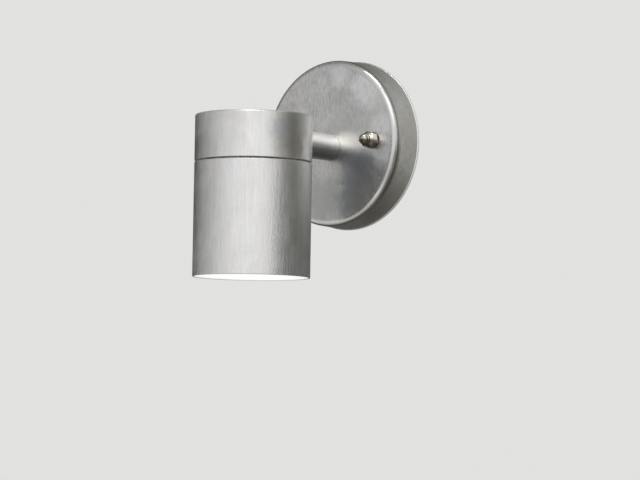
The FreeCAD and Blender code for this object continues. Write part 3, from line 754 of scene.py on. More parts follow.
@dataclass(frozen=True)
class ThreadedMetal(Finish):
    """Zinc plate with a thread about a line along Y."""

    colour: Colour = (0.62, 0.62, 0.6)
    # The painted shade in the grooves.
    groove_shade: Colour = (0.2, 0.19, 0.18)
    smoothest: float = 0.25
    roughest: float = 0.45
    pitch: float = 1.0 * MM
    thread_depth: float = 0.35 * MM

    def inputs(self, graph: Graph) -> Inputs:
        """Ridges at the pitch, with painted shade in the grooves.

        Args:
            graph: The material's graph.

        Returns:
            What each input is fed, by its name.
        """
        turns = graph.math("FRACT", graph.math("DIVIDE", graph.parts()["Y"], self.pitch))
        ridge = graph.math("ABSOLUTE", graph.math("SUBTRACT", turns, 0.5))
        return {
            "Base Color": graph.mix(graph.ramp(ridge, 0.0, 0.5), self.groove_shade, self.colour),
            "Roughness": graph.spread(graph.noise(900.0), self.smoothest, self.roughest),
            "Metallic": 1.0,
            "Normal": graph.bump(ridge, self.thread_depth),
        }


@dataclass(frozen=True)
class TurnedMetal(Finish):
    """Aluminium off the lathe, with its fine rings."""

    axis_y: float
    colour: Colour = (0.7, 0.7, 0.71)
    cloud: Colour = (0.58, 0.58, 0.6)
    smoothest: float = 0.28
    roughest: float = 0.4
    pitch: float = 0.35 * MM
    ring_depth: float = 0.012 * MM

    def inputs(self, graph: Graph) -> Inputs:
        """Two tones in clouds, and rings about the axis.

        Args:
            graph: The material's graph.

        Returns:
            What each input is fed, by its name.
        """
        clouds = CloudMask.mask(graph, 120.0, 0.5)
        rings = TurningMarks.use(graph, Axis_Y=self.axis_y, Pitch=self.pitch)["Height"]
        return {
            "Base Color": graph.mix(clouds, self.colour, self.cloud),
            "Roughness": graph.ramp(clouds, 0.0, 1.0, self.smoothest, self.roughest),
            "Metallic": 1.0,
            "Normal": graph.bump(rings, self.ring_depth),
        }


@dataclass(frozen=True)
class Moulded(Finish):
    """Plastic, rubber or silicone out of a mould."""

    colour: Colour
    shade: Colour
    roughness: float
    grain_depth: float = 0.03 * MM
    grain_roughness: float = 0.12
    cloud_roughness: float = 0.08
    dust: Colour = (0.42, 0.4, 0.37)
    dust_share: float = 0.0
    see_through_share: float = 0.0

    def inputs(self, graph: Graph) -> Inputs:
        """Two tones in clouds, with grain and dust.

        Args:
            graph: The material's graph.

        Returns:
            What each input is fed, by its name.
        """
        clouds = CloudMask.mask(graph, 150.0, 0.5)
        dust = CloudMask.mask(graph, 420.0, 0.6)
        grain = graph.noise(3200.0, 2.0)
        colour = graph.mix(clouds, self.colour, self.shade)
        smooth = self.roughness - self.grain_roughness / 2
        rough = graph.scaled(grain, self.grain_roughness, smooth)
        return {
            "Base Color": graph.mix(graph.product(dust, self.dust_share), colour, self.dust),
            "Roughness": graph.scaled(clouds, self.cloud_roughness, rough),
            "Transmission Weight": self.see_through_share,
            "Normal": graph.bump(grain, self.grain_depth),
        }


@dataclass(frozen=True)
class StripedSleeve(Finish):
    """The green and yellow insulation of an earth lead."""

    base: Colour = (0.1, 0.36, 0.07)
    stripe: Colour = (0.78, 0.66, 0.06)
    stripes_per_metre: float = 330.0
    stripe_edge: Pair = (0.22, 0.26)
    smoothest: float = 0.35
    roughest: float = 0.5

    def inputs(self, graph: Graph) -> Inputs:
        """Bands across the lead.

        Args:
            graph: The material's graph.

        Returns:
            What each input is fed, by its name.
        """
        part = graph.parts()
        along = graph.math("SUBTRACT", graph.math("ADD", part["Y"], part["X"]), part["Z"])
        wave = graph.math("FRACT", graph.product(along, self.stripes_per_metre))
        band = graph.ramp(graph.math("ABSOLUTE", graph.math("SUBTRACT", wave, 0.5)), *self.stripe_edge)
        return {
            "Base Color": graph.mix(band, self.base, self.stripe),
            "Roughness": graph.spread(graph.noise(1500.0), self.smoothest, self.roughest),
        }


@dataclass(frozen=True)
class FiredCeramic(Finish):
    """Unglazed steatite with fine specks."""

    colour: Colour = (0.8, 0.785, 0.73)
    cloud: Colour = (0.74, 0.72, 0.66)
    speck: Colour = (0.6, 0.57, 0.5)
    speck_share: float = 0.4
    speck_edge: Pair = (0.62, 0.72)
    smoothest: float = 0.52
    roughest: float = 0.7
    grain_depth: float = 0.04 * MM

    def inputs(self, graph: Graph) -> Inputs:
        """Two tones in clouds under the specks.

        Args:
            graph: The material's graph.

        Returns:
            What each input is fed, by its name.
        """
        specks = graph.ramp(graph.noise(1400.0, 2.0), *self.speck_edge)
        clouds = CloudMask.mask(graph, 110.0, 0.5)
        colour = graph.mix(clouds, self.colour, self.cloud)
        return {
            "Base Color": graph.mix(graph.product(specks, self.speck_share), colour, self.speck),
            "Roughness": graph.ramp(specks, 0.0, 1.0, self.smoothest, self.roughest),
            "Normal": graph.bump(graph.noise(2400.0), self.grain_depth),
        }


@dataclass(frozen=True)
class LitPane(Finish):
    """Satin glass or a diffusing cover that the lamp lights from behind."""

    centre: Vector
    reach: float
    glow: Colour = (1.0, 0.985, 0.95)
    body_tint: Colour = (0.3, 0.31, 0.31)
    frost_tint: Colour = (0.26, 0.27, 0.27)
    strength: float = 0.95
    dim_from_share: float = 0.5
    rim_share: float = 0.86
    roughness: float = 0.3
    frost_roughness: float = 0.1
    frost_dim: float = 0.96
    grain_depth: float = 0.006 * MM

    def inputs(self, graph: Graph) -> Inputs:
        """A glow that fades towards the rim, over frosted glass.

        Args:
            graph: The material's graph.

        Returns:
            What each input is fed, by its name.
        """
        flat = graph.vector("MULTIPLY", graph.vector("SUBTRACT", graph.place, self.centre), (1.0, 1.0, 0.0))
        share = graph.math("DIVIDE", graph.measure("LENGTH", flat), self.reach)
        falloff = graph.ramp(share, self.dim_from_share, 1.0, 1.0, self.rim_share)
        frost = graph.noise(700.0, 2.0)
        level = graph.product(falloff, graph.spread(frost, self.frost_dim, 1.0))
        return {
            "Base Color": graph.mix(frost, self.body_tint, self.frost_tint),
            "Roughness": graph.spread(frost, self.roughness, self.roughness + self.frost_roughness),
            "Emission Color": graph.mix(level, (0.0, 0.0, 0.0), self.glow),
            "Emission Strength": self.strength,
            "Normal": graph.bump(graph.noise(5200.0, 2.0), self.grain_depth),
        }


# Mesh tools


SHARP_OVER = math.radians(32)
ROUNDED_OVER = math.radians(22)


@dataclass(frozen=True)
class Corner:
    """A corner of a turned outline, with its rounding."""

    radius: float
    height: float
    rounding: float = 0.0


@dataclass(frozen=True)
class Envelope:
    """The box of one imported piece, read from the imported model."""

    low: Vector
    high: Vector

    @classmethod
    def of(cls, node: str) -> "Envelope":
        """The box of a node."""
        return cls(*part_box(node))

    @property
    def middle(self) -> Vector:
        """The centre of the box."""
        return (self.low + self.high) / 2

    @property
    def radius(self) -> float:
        """Half its width, the radius of a round piece."""
        return (self.high.x - self.low.x) / 2

    @property
    def height(self) -> float:
        """Its size along Z."""
        return self.high.z - self.low.z

    @property
    def depth(self) -> float:
        """Its size along Y."""
        return self.high.y - self.low.y

    @property
    def foot(self) -> Vector:
        """Where an upright piece's axis meets its lower end."""
        return Vector((0, self.middle.y, self.low.z))


def turned(corners: Sequence[Corner], base: Vector, axis: Axis, steps: int = 256, arcs: int = 7) -> Mesh:
    """A closed shape turned about an axis.

    Args:
        corners: The outline, with heights along the axis from the base.
        base: The point of the axis at height zero.
        axis: The way the heights run.
        steps: How many steps make the full turn.
        arcs: How many segments round one corner.

    Returns:
        The turned mesh, with its faces outwards.
    """
    mesh = bmesh.new()
    points = [mesh.verts.new((corner.radius, 0, corner.height)) for corner in corners]
    pairs = list(zip(points, points[1:] + points[:1]))
    for (start, end), (first, second) in zip(pairs, zip(corners, [*corners[1:], corners[0]])):
        if first.radius > 0 or second.radius > 0:
            mesh.edges.new((start, end))
    for point, corner in zip(points, corners):
        if corner.rounding > 0:
            settings = {"segments": arcs, "profile": 0.5, "affect": "VERTICES", "material": -1}
            bmesh.ops.bevel(mesh, geom=[point], offset=corner.rounding, **settings)
    geometry = [*mesh.verts, *mesh.edges]
    bmesh.ops.spin(mesh, geom=geometry, axis=(0, 0, 1), angle=math.tau, steps=steps, use_merge=True)
    bmesh.ops.remove_doubles(mesh, verts=mesh.verts, dist=1e-7)
    bmesh.ops.recalc_face_normals(mesh, faces=mesh.faces)
    mesh.transform(axis.stand(base))
    return mesh


def bar(radius: float, length: float, base: Vector, axis: Axis, sides: int = 96, turn: float = 0.0) -> Mesh:
    """A round or many-sided bar.

    Args:
        radius: The radius to its corners.
        length: Its length along the axis.
        base: The middle of its first end.
        axis: The way it runs.
        sides: How many sides it has.
        turn: How far it is turned about its axis, in radians.

    Returns:
        The bar's mesh.
    """
    mesh = bmesh.new()
    lift = Matrix.Translation((0, 0, length / 2)) @ Matrix.Rotation(turn, 4, "Z")
    size = {"radius1": radius, "radius2": radius, "depth": length}
    bmesh.ops.create_cone(mesh, cap_ends=True, segments=sides, matrix=axis.stand(base) @ lift, **size)
    return mesh


def as_object(mesh: Mesh, name: str) -> Object:
    """An object with smooth faces and sharp edges.

    Args:
        mesh: The mesh, which is freed.
        name: The object's name.

    Returns:
        The linked object.
    """
    for face in mesh.faces:
        face.smooth = True
    for edge in mesh.edges:
        edge.smooth = edge.calc_face_angle(0.0) < SHARP_OVER
    data = bpy.data.meshes.new(name)
    mesh.to_mesh(data)
    mesh.free()
    made = bpy.data.objects.new(name, data)
    bpy.context.scene.collection.objects.link(made)
    return made


def combine(piece: Object, other: Mesh, operation: str) -> None:
    """Cuts, joins or limits a piece with another mesh.

    Args:
        piece: The piece, whose mesh is replaced.
        other: The other mesh, which is freed.
        operation: DIFFERENCE, UNION or INTERSECT.
    """
    tool = as_object(other, "tool")
    change = piece.modifiers.new("change", "BOOLEAN")
    change.object = tool
    change.operation = operation
    change.solver = "EXACT"
    bpy.context.view_layer.update()
    piece_now = piece.evaluated_get(bpy.context.evaluated_depsgraph_get())
    piece.data = bpy.data.meshes.new_from_object(piece_now)
    piece.modifiers.clear()
    bpy.data.objects.remove(tool)


def finish_shell(piece: Object, bevel: float = 0.0) -> Object:
    """Rounds a piece's edges and evens its shading.

    Args:
        piece: The piece.
        bevel: The width of the rounding, or 0 for none.

    Returns:
        The same piece.
    """
    if bevel > 0:
        rounding = piece.modifiers.new("rounding", "BEVEL")
        rounding.width = bevel
        rounding.segments = 3
        rounding.limit_method = "ANGLE"
        rounding.angle_limit = ROUNDED_OVER
    even = piece.modifiers.new("even shading", "WEIGHTED_NORMAL")
    even.keep_sharp = True
    return piece


def paint(piece: Object, material: Material) -> None:
    """Gives a piece one material.

    Args:
        piece: The piece.
        material: The material for all its slots.
    """
    if not piece.material_slots:
        piece.data.materials.append(material)
    for slot in piece.material_slots:
        slot.material = material


@dataclass
class Workshop:
    """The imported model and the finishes, shared by the sub-assemblies."""

    nodes: dict[str, Object]
    finishes: dict[str, Material] = field(default_factory=dict)

    def finish(self, finish: Finish) -> Material:
        """The material of a finish, made once.

        Args:
            finish: The finish.

        Returns:
            Its material.
        """
        if finish.title not in self.finishes:
            self.finishes[finish.title] = finish.material()
        return self.finishes[finish.title]

    def dress(self, finish: Finish, *names: str) -> None:
        """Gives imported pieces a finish.

        Args:
            finish: The finish.
            *names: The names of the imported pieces.
        """
        for name in names:
            paint(self.nodes[name], self.finish(finish))
            log.info("dressed %s in %s", name, finish.title)

    def place(self, piece: Object, finish: Finish, slot: str, body: Body, *replaced: str) -> None:
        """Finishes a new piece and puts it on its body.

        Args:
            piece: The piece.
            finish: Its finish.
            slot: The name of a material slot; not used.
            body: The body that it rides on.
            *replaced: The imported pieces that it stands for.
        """
        paint(piece, self.finish(finish))
        if replaced:
            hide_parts(*replaced)
        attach(piece, body.value)
        log.info("made %s on %s", piece.name, body.value)


# Sub-assemblies


ZINC_PLATE = PlatedMetal("zinc plate", (0.6, 0.61, 0.62), (0.48, 0.48, 0.5), 0.2, 0.38)
NICKEL_PLATE = PlatedMetal("nickel plate", (0.7, 0.66, 0.58), (0.56, 0.51, 0.43), 0.12, 0.22)
# The cap nuts' plating, with painted shade on their lower half.
NUT_PLATE = PlatedMetal(
    "nickel plate shaded below",
    (0.68, 0.64, 0.57),
    (0.5, 0.455, 0.38),
    0.03,
    0.08,
    glancing_tint=(0.08, 0.07, 0.055),
    painted_shade_below=(0.45 * MM, -0.5 * MM),
)
BRASS = PlatedMetal("brass", (0.72, 0.53, 0.24), (0.52, 0.37, 0.16), 0.2, 0.36)
BLACK_RUBBER = Moulded("black rubber", (0.018, 0.018, 0.019), (0.032, 0.031, 0.03), 0.62, dust_share=0.12)
WEATHERED_RUBBER = Moulded(
    "weathered rubber", (0.06, 0.058, 0.055), (0.09, 0.088, 0.084), 0.7, dust_share=0.3
)
PALE_SILICONE = Moulded("pale silicone", (0.66, 0.68, 0.69), (0.6, 0.62, 0.63), 0.38, see_through_share=0.25)
PALE_NYLON = Moulded("pale nylon", (0.74, 0.72, 0.65), (0.68, 0.66, 0.58), 0.46)
BLUE_SLEEVE = Moulded("blue insulation", (0.03, 0.12, 0.46), (0.025, 0.1, 0.38), 0.4)
BROWN_SLEEVE = Moulded("brown insulation", (0.16, 0.065, 0.03), (0.13, 0.05, 0.024), 0.4)

# The dish's tinted patches in millimetres: across, behind the face, up, reach, tint and strength. The three
# warm bright rows at the arm's height are a painted reflection of the arm, the two dark bluish rows right of
# and below the arm a painted reflection of the head, and the two white rows right of the nut painted light;
# the other rows tint the coat.
DISH_STAINS_AND_PAINTED_LIGHT = (
    (19.5, 0, -16.5, 15, (0.34, 0.37, 0.41), 0.65),
    (16, 0, -31, 13, (0.28, 0.3, 0.33), 0.6),
    (-4, 0, -30, 15, (0.46, 0.46, 0.45), 0.5),
    (37, 0, -6, 11, (0.95, 0.96, 0.97), 0.85),
    (35, 0, 6, 11, (0.96, 0.97, 0.98), 0.7),
    (38, 7, 22, 12, (0.74, 0.78, 0.82), 0.25),
    (30, 11, -33, 22, (0.44, 0.41, 0.35), 0.6),
    (23, 0, 27, 12, (0.93, 0.94, 0.96), 0.7),
    (6, 0, 36, 8, (0.88, 0.89, 0.92), 0.55),
    (9.5, 0, 1, 6.5, (0.95, 0.93, 0.88), 0.75),
    (14.5, 0, 1, 6, (0.95, 0.93, 0.88), 0.7),
    (19.5, 0, 1, 5.5, (0.95, 0.92, 0.86), 0.45),
)


@dataclass
class Canopy:
    """The dish on the wall, with its cap nuts."""

    shop: Workshop
    wall: float = 1.5 * MM
    front_radius_loss: float = 1.1 * MM
    edge_round: float = 3.2 * MM
    polish_width: float = 3.52 * MM
    bead_height: float = 0.95 * MM
    bead_slope_height: float = 1.425 * MM
    bead_rise: float = 0.45 * MM
    bead_round_share: float = 1 / 3
    rim_round: float = 0.35 * MM
    pipe_hole_radius: float = 5.15 * MM
    stud_hole_radius: float = 2.75 * MM
    nut_across_flats: float = 8.0 * MM
    nut_hex_height: float = 3.5 * MM
    nut_shoulder_height: float = 0.9 * MM
    nut_shoulder_radii: Pair = (4.3 * MM, 2.75 * MM)
    nut_shoulder_round: float = 0.15 * MM
    nut_edge_round: float = 0.09 * MM
    nut_chamfer: float = 0.35 * MM
    nut_waist_radius: float = 2.6 * MM
    nut_waist_height: float = 0.3 * MM
    nut_ball_radius: float = 2.95 * MM
    nut_bore_radius: float = 2.53 * MM
    nut_bore_depth: float = 4.2 * MM
    nut_turns: Pair = (41.0, 12.0)

    def build(self) -> None:
        """Makes the dish and both nuts and dresses the rest."""
        box = Envelope.of("canopy")
        # The dish's patches: stains, and painted reflections and painted light.
        stains_and_painted_light = tuple(
            StainOrPaintedLight((x * MM, y * MM - box.depth, z * MM), reach * MM, tint, share)
            for x, y, z, reach, tint, share in DISH_STAINS_AND_PAINTED_LIGHT
        )
        finish = GalvanisedSteel(
            "galvanised dish",
            tone=0.68,
            crystal_share=0.16,
            streak_share=0.15,
            streak_length=3.5,
            smoothest=0.26,
            roughest=0.36,
            # The rubbed edge, with its painted highlights and painted shade.
            edge_polish_and_painted_light=(box.radius - self.front_radius_loss, box.depth, self.polish_width),
            stains_and_painted_light=stains_and_painted_light,
        )
        self.shop.place(self.dish(box), finish, "galvanised_steel", Body.FIXTURE, "canopy")
        seats = self.stud_places(Envelope.of("cap_nuts").high.y)
        for label, seat, turn in zip(("left", "right"), seats, self.nut_turns):
            nut = self.cap_nut(f"cap_nut_{label}", seat, math.radians(turn))
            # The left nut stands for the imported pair
            replaced = ["cap_nuts"] if label == "left" else []
            self.shop.place(nut, NUT_PLATE, "nickel_plate", Body.FIXTURE, *replaced)
        self.shop.dress(BLACK_RUBBER, "nut_seals", "wall_gasket")

    def stud_places(self, y: float) -> list[Vector]:
        """Where the left and the right stud cross a plane parallel to the wall.

        Args:
            y: The plane's Y.

        Returns:
            The two places, left first.
        """
        seals = Envelope.of("nut_seals")
        stud_x = (seals.high.x - seals.low.x) / 2 - seals.height / 2
        return [Vector((side * stud_x, y, seals.middle.z)) for side in (-1, 1)]

    def dish(self, box: Envelope) -> Object:
        """The pressed dish with its three holes.

        Args:
            box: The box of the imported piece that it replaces.

        Returns:
            The dish.
        """
        inside = box.depth - self.wall
        inner_front = box.radius - self.front_radius_loss * inside / box.depth - self.wall
        bead_round = self.bead_height * self.bead_round_share
        outline = [
            Corner(0, box.depth),
            Corner(box.radius - self.front_radius_loss, box.depth, self.edge_round),
            Corner(box.radius - self.bead_rise, self.bead_slope_height, bead_round),
            Corner(box.radius, self.bead_height, bead_round),
            Corner(box.radius, 0, self.rim_round),
            Corner(box.radius - self.wall, 0),
            Corner(inner_front, inside, self.edge_round - self.wall),
            Corner(0, inside),
        ]
        piece = as_object(turned(outline, Vector((0, 0, 0)), Axis.OUT), "canopy_dish")
        start = -inside + self.wall
        holes = [(self.pipe_hole_radius, Vector((0, start, Envelope.of("threaded_pipe").middle.z)))]
        holes += [(self.stud_hole_radius, place) for place in self.stud_places(start)]
        for radius, place in holes:
            combine(piece, bar(radius, 3 * self.wall, place, Axis.OUT), "DIFFERENCE")
        return finish_shell(piece)

    def cap_nut(self, name: str, seat: Vector, turn: float) -> Object:
        """A hexagon with a sloping shoulder, a waist and a ball.

        Args:
            name: The nut's name.
            seat: The middle of its underside.
            turn: How far its hexagon is turned, in radians.

        Returns:
            The nut.
        """
        corner_radius = self.nut_across_flats / math.sqrt(3)
        wide, narrow = self.nut_shoulder_radii
        top = self.nut_hex_height + self.nut_shoulder_height
        height = top + self.nut_waist_height
        outline = [
            Corner(0, 0),
            Corner(corner_radius - self.nut_chamfer, 0),
            Corner(corner_radius, self.nut_chamfer),
            Corner(corner_radius, self.nut_hex_height - self.nut_chamfer),
            Corner(wide, self.nut_hex_height),
            Corner(narrow, top, self.nut_shoulder_round),
            Corner(self.nut_waist_radius, height),
            Corner(0, height),
        ]
        piece = as_object(turned(outline, seat, Axis.OUT, steps=96, arcs=3), name)
        combine(piece, bar(corner_radius, height, seat, Axis.OUT, 6, turn), "INTERSECT")
        rise = math.sqrt(self.nut_ball_radius**2 - self.nut_waist_radius**2)
        settings = {"radius": self.nut_ball_radius, "u_segments": 64, "v_segments": 40}
        lift = Matrix.Translation(seat + Axis.OUT.value * (height + rise))
        ball = bmesh.new()
        bmesh.ops.create_uvsphere(ball, matrix=lift, **settings)
        combine(piece, ball, "UNION")
        combine(piece, bar(self.nut_bore_radius, self.nut_bore_depth, seat, Axis.OUT, 48), "DIFFERENCE")
        return finish_shell(piece, self.nut_edge_round)


@dataclass
class WallFixings:
    """Bracket, studs, cable bush and terminals behind the dish."""

    shop: Workshop

    def build(self) -> None:
        """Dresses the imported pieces."""
        self.shop.dress(ZINC_PLATE, "wall_bracket", "block_screw", "terminal_screws", "earth_screws")
        singles = {
            "bracket_studs": ThreadedMetal("stud thread", pitch=0.8 * MM),
            "cable_bush": BLACK_RUBBER,
            "terminal_block": PALE_NYLON,
            "terminal_clamps": BRASS,
            "earth_tags": NICKEL_PLATE,
            "neutral_lead": BLUE_SLEEVE,
            "live_lead": BROWN_SLEEVE,
            "earth_lead": StripedSleeve("earth insulation"),
        }
        for name, finish in singles.items():
            self.shop.dress(finish, name)


@dataclass
class Arm:
    """The short tube between dish and head, and the pipe inside it."""

    shop: Workshop
    wall: float = 1.5 * MM
    edge_round: float = 0.45 * MM
    saddle_gap: float = 0.05 * MM
    shade_span: Pair = (3.4 * MM, -2.72 * MM)

    def build(self) -> None:
        """Makes the tube and dresses the pipe and its fixings."""
        box = Envelope.of("arm_tube")
        finish = GalvanisedSteel(
            "galvanised arm",
            tone=0.97,
            crystal_share=0.06,
            tarnish_cover=0.05,
            smoothest=0.4,
            roughest=0.5,
            # Painted shade: the tube is painted darker from just above its middle downwards.
            shaded_below=tuple(box.middle.z + rise for rise in self.shade_span),
        )
        self.shop.place(self.tube(box), finish, "galvanised_steel", Body.FIXTURE, "arm_tube")
        self.shop.dress(ThreadedMetal("pipe thread"), "threaded_pipe")
        self.shop.dress(ZINC_PLATE, "pipe_nuts", "lock_washers")
        self.shop.dress(PALE_NYLON, "pipe_bushes")

    def tube(self, box: Envelope) -> Object:
        """The tube, flat on the dish and shaped to the head.

        Args:
            box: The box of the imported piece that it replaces.

        Returns:
            The tube.
        """
        head = Envelope.of("head_cap")
        clear = head.radius + self.saddle_gap
        outline = [
            Corner(box.radius - self.wall, 0, self.edge_round),
            Corner(box.radius, 0, self.edge_round),
            Corner(box.radius, box.depth),
            Corner(box.radius - self.wall, box.depth),
        ]
        mesh = turned(outline, Vector((0, box.high.y, box.middle.z)), Axis.OUT, steps=160, arcs=4)
        for point in mesh.verts:
            if point.co.y < box.low.y + self.wall:
                point.co.y = head.middle.y + math.sqrt(clear**2 - point.co.x**2)
        return finish_shell(as_object(mesh, "arm_sleeve_tube"))


@dataclass
class HeadCap:
    """The closed top of the head, with collar, seals and bridge."""

    shop: Workshop
    wall: float = 2.0 * MM
    top: float = 2.0 * MM
    edge_round: float = 0.8 * MM
    seam_round: float = 0.3 * MM
    pipe_hole_radius: float = 5.15 * MM

    def build(self) -> None:
        """Makes the cap and dresses what it holds."""
        box = Envelope.of("head_cap")
        finish = GalvanisedSteel(
            "galvanised cap",
            tone=0.81,
            smoothest=0.28,
            roughest=0.42,
            wave_share=0.32,
            dash_height_share=0.26,
            # Three tinted patches on the cap's right side: olive low down, bluish and grey higher up.
            stains_and_painted_light=(
                StainOrPaintedLight(self.on_side(box, 85.0, 0.25), 0.0085, (0.4, 0.38, 0.27), 0.55),
                StainOrPaintedLight(self.on_side(box, 66.0, 0.6), 0.0075, (0.56, 0.62, 0.7), 0.5),
                StainOrPaintedLight(self.on_side(box, 80.0, 0.6), 0.016, (0.5, 0.5, 0.46), 0.5),
            ),
        )
        self.shop.place(self.cap(box), finish, "galvanised_steel", Body.FIXTURE, "head_cap")
        self.shop.dress(TurnedMetal("turned aluminium", box.middle.y), "spigot_collar", "saddle_washer")
        self.shop.dress(WEATHERED_RUBBER, "seam_seal")
        self.shop.dress(BLACK_RUBBER, "o_ring")
        self.shop.dress(ZINC_PLATE, "holder_bridge", "collar_screws", "holder_screws")
        self.shop.dress(FiredCeramic("fired ceramic"), "lamp_holder")
        self.shop.dress(BRASS, "holder_contacts")

    def on_side(self, box: Envelope, azimuth: float, share: float) -> Place:
        """A point of the cap's side, turned from the front towards +X by degrees and raised by a share.

        Args:
            box: The cap's box.
            azimuth: The turn in degrees.
            share: The height above the cap's foot, as a share of its whole height.

        Returns:
            The point.
        """
        turn = math.radians(azimuth)
        x = box.radius * math.sin(turn)
        y = box.middle.y - box.radius * math.cos(turn)
        return (x, y, box.low.z + share * box.height)

    def cap(self, box: Envelope) -> Object:
        """The cap, open below, with the hole for the pipe.

        Args:
            box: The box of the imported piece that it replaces.

        Returns:
            The cap.
        """
        inner = box.radius - self.wall
        ceiling = box.height - self.top
        outline = [
            Corner(0, box.height),
            Corner(box.radius, box.height, self.edge_round),
            Corner(box.radius, 0, self.seam_round),
            Corner(inner, 0),
            Corner(inner, ceiling),
            Corner(0, ceiling),
        ]
        piece = as_object(turned(outline, box.foot, Axis.UP), "head_cap_shell")
        pipe = Envelope.of("threaded_pipe")
        start = Vector((0, box.high.y + self.wall, pipe.middle.z))
        combine(piece, bar(self.pipe_hole_radius, box.radius, start, Axis.OUT), "DIFFERENCE")
        return finish_shell(piece)


@dataclass
class Sleeve:
    """The lower tube that pulls off, with its glass."""

    shop: Workshop
    wall: float = 2.0 * MM
    edge_round: float = 0.3 * MM
    rim: float = 0.8 * MM
    glass_chamfer: float = 0.3 * MM

    def build(self) -> None:
        """Makes the tube and the glass and dresses the seal."""
        box = Envelope.of("sleeve")
        finish = GalvanisedSteel(
            "galvanised sleeve",
            tone=0.81,
            crystal_share=0.07,
            tarnish_cover=0.12,
            smoothest=0.31,
            roughest=0.43,
            wave_share=0.28,
            dash_height_share=0.38,
        )
        self.shop.place(self.tube(box), finish, "galvanised_steel", Body.SLEEVE, "sleeve")
        pane = Envelope.of("lens_glass")
        glow = LitPane("lit glass", pane.middle, pane.radius)
        self.shop.place(self.glass(pane), glow, "lit_glass", Body.SLEEVE, "lens_glass")
        self.shop.dress(PALE_SILICONE, "lens_seal")

    def tube(self, box: Envelope) -> Object:
        """The tube with the rebate that the glass sits in.

        Args:
            box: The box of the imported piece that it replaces.

        Returns:
            The tube.
        """
        inner = box.radius - self.wall
        rebate = Envelope.of("lens_seal").high.z - box.low.z
        outline = [
            Corner(inner, box.height, self.edge_round / 2),
            Corner(box.radius, box.height, self.edge_round),
            Corner(box.radius, 0, self.edge_round),
            Corner(box.radius - self.rim, 0, self.edge_round / 2),
            Corner(box.radius - self.rim, rebate),
            Corner(inner, rebate),
        ]
        return finish_shell(as_object(turned(outline, box.foot, Axis.UP, arcs=5), "sleeve_tube"))

    def glass(self, box: Envelope) -> Object:
        """The flat pane with ground edges.

        Args:
            box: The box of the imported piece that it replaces.

        Returns:
            The pane.
        """
        outline = [
            Corner(0, 0),
            Corner(box.radius, 0, self.glass_chamfer),
            Corner(box.radius, box.height, self.glass_chamfer),
            Corner(0, box.height),
        ]
        return finish_shell(as_object(turned(outline, box.foot, Axis.UP, steps=192, arcs=3), "lens_pane"))


@dataclass
class Lamp:
    """The twist-lock lamp."""

    shop: Workshop
    base_radius: float = 11.5 * MM
    base_height: float = 7.0 * MM
    rim_height: float = 9.0 * MM
    flare_share: float = 0.58
    flare_stages: int = 14
    flare_from_share: float = 0.9
    edge_round: float = 0.8 * MM
    front_rim: float = 1.6 * MM
    front_recess: float = 2.0 * MM
    flutes: int = 24
    steps_to_a_flute: int = 8
    flute_depth: float = 0.45 * MM

    def build(self) -> None:
        """Makes the shell and dresses cover and pins."""
        shell = Moulded("white lamp shell", (0.78, 0.78, 0.76), (0.72, 0.72, 0.7), 0.34, 0.01 * MM)
        self.shop.place(self.body(), shell, "white_lamp_shell", Body.LAMP, "lamp_body")
        cover = Envelope.of("lamp_front")
        warm = (1.0, 0.965, 0.88)
        glow = LitPane("lit lamp cover", cover.middle, cover.radius, warm, strength=0.9, rim_share=0.7)
        self.shop.dress(glow, "lamp_front")
        self.shop.dress(BRASS, "lamp_pins")

    def body(self) -> Object:
        """The shell: base, fluted flare and rim with the recess for the cover.

        Returns:
            The shell.
        """
        box = Envelope.of("lamp_body")
        flare = (self.rim_height, box.height - self.base_height)
        outline = [
            Corner(0, box.height),
            Corner(self.base_radius, box.height, self.edge_round),
            *self.flare_corners(box.radius, *flare),
            Corner(box.radius, 0, self.edge_round),
            Corner(box.radius - self.front_rim, 0),
            Corner(box.radius - self.front_rim, self.front_recess),
            Corner(0, self.front_recess),
        ]
        mesh = turned(outline, box.foot, Axis.UP, steps=self.flutes * self.steps_to_a_flute)
        for point in mesh.verts:
            self.press_flute(point, box.foot, *flare)
        return finish_shell(as_object(mesh, "lamp_shell"))

    def flare_corners(self, front: float, low: float, high: float) -> list[Corner]:
        """The flare's curve from the base down to the rim, through the radius that its share gives.

        Args:
            front: The rim's radius.
            low: The height at which the flare meets the rim.
            high: The height at which it meets the base.

        Returns:
            The curve's corners.
        """
        spread = front - self.base_radius
        bulge = (self.flare_share - 0.5) * spread
        corners = []
        for step in range(self.flare_stages + 1):
            share = step / self.flare_stages
            radius = self.base_radius + share * spread + 4 * bulge * share * (1 - share)
            corners.append(Corner(radius, high + share * (low - high)))
        return corners

    def press_flute(self, point: bmesh.types.BMVert, base: Vector, low: float, high: float) -> None:
        """Presses one point of the flare in where a flute runs.

        Args:
            point: The point.
            base: Where the axis meets the shell's lower end.
            low: The height at which the flare meets the rim.
            high: The height at which it meets the base.
        """
        height = point.co.z - base.z
        away = Vector((point.co.x - base.x, point.co.y - base.y, 0))
        if not low < height < high or away.length < self.base_radius * self.flare_from_share:
            return
        fade = math.sin(math.pi * (height - low) / (high - low)) ** 0.5
        wave = 0.5 + 0.5 * math.cos(self.flutes * math.atan2(away.y, away.x))
        point.co -= away.normalized() * (self.flute_depth * fade * wave)


# Light, floor and camera


@dataclass(frozen=True)
class SoftBox:
    """An area lamp that faces the head. Its power is in watts."""

    name: str
    place: Place
    size: Pair
    power: float
    aim: Place = (0.0, -0.05, -0.02)

    def build(self) -> None:
        """Makes the lamp."""
        data = bpy.data.lights.new(self.name, "AREA")
        data.shape = "RECTANGLE"
        data.size, data.size_y = self.size
        data.energy = self.power
        lamp = bpy.data.objects.new(self.name, data)
        lamp.location = self.place
        lamp.rotation_mode = "QUATERNION"
        lamp.rotation_quaternion = (Vector(self.aim) - Vector(self.place)).to_track_quat("-Z", "Y")
        bpy.context.scene.collection.objects.link(lamp)


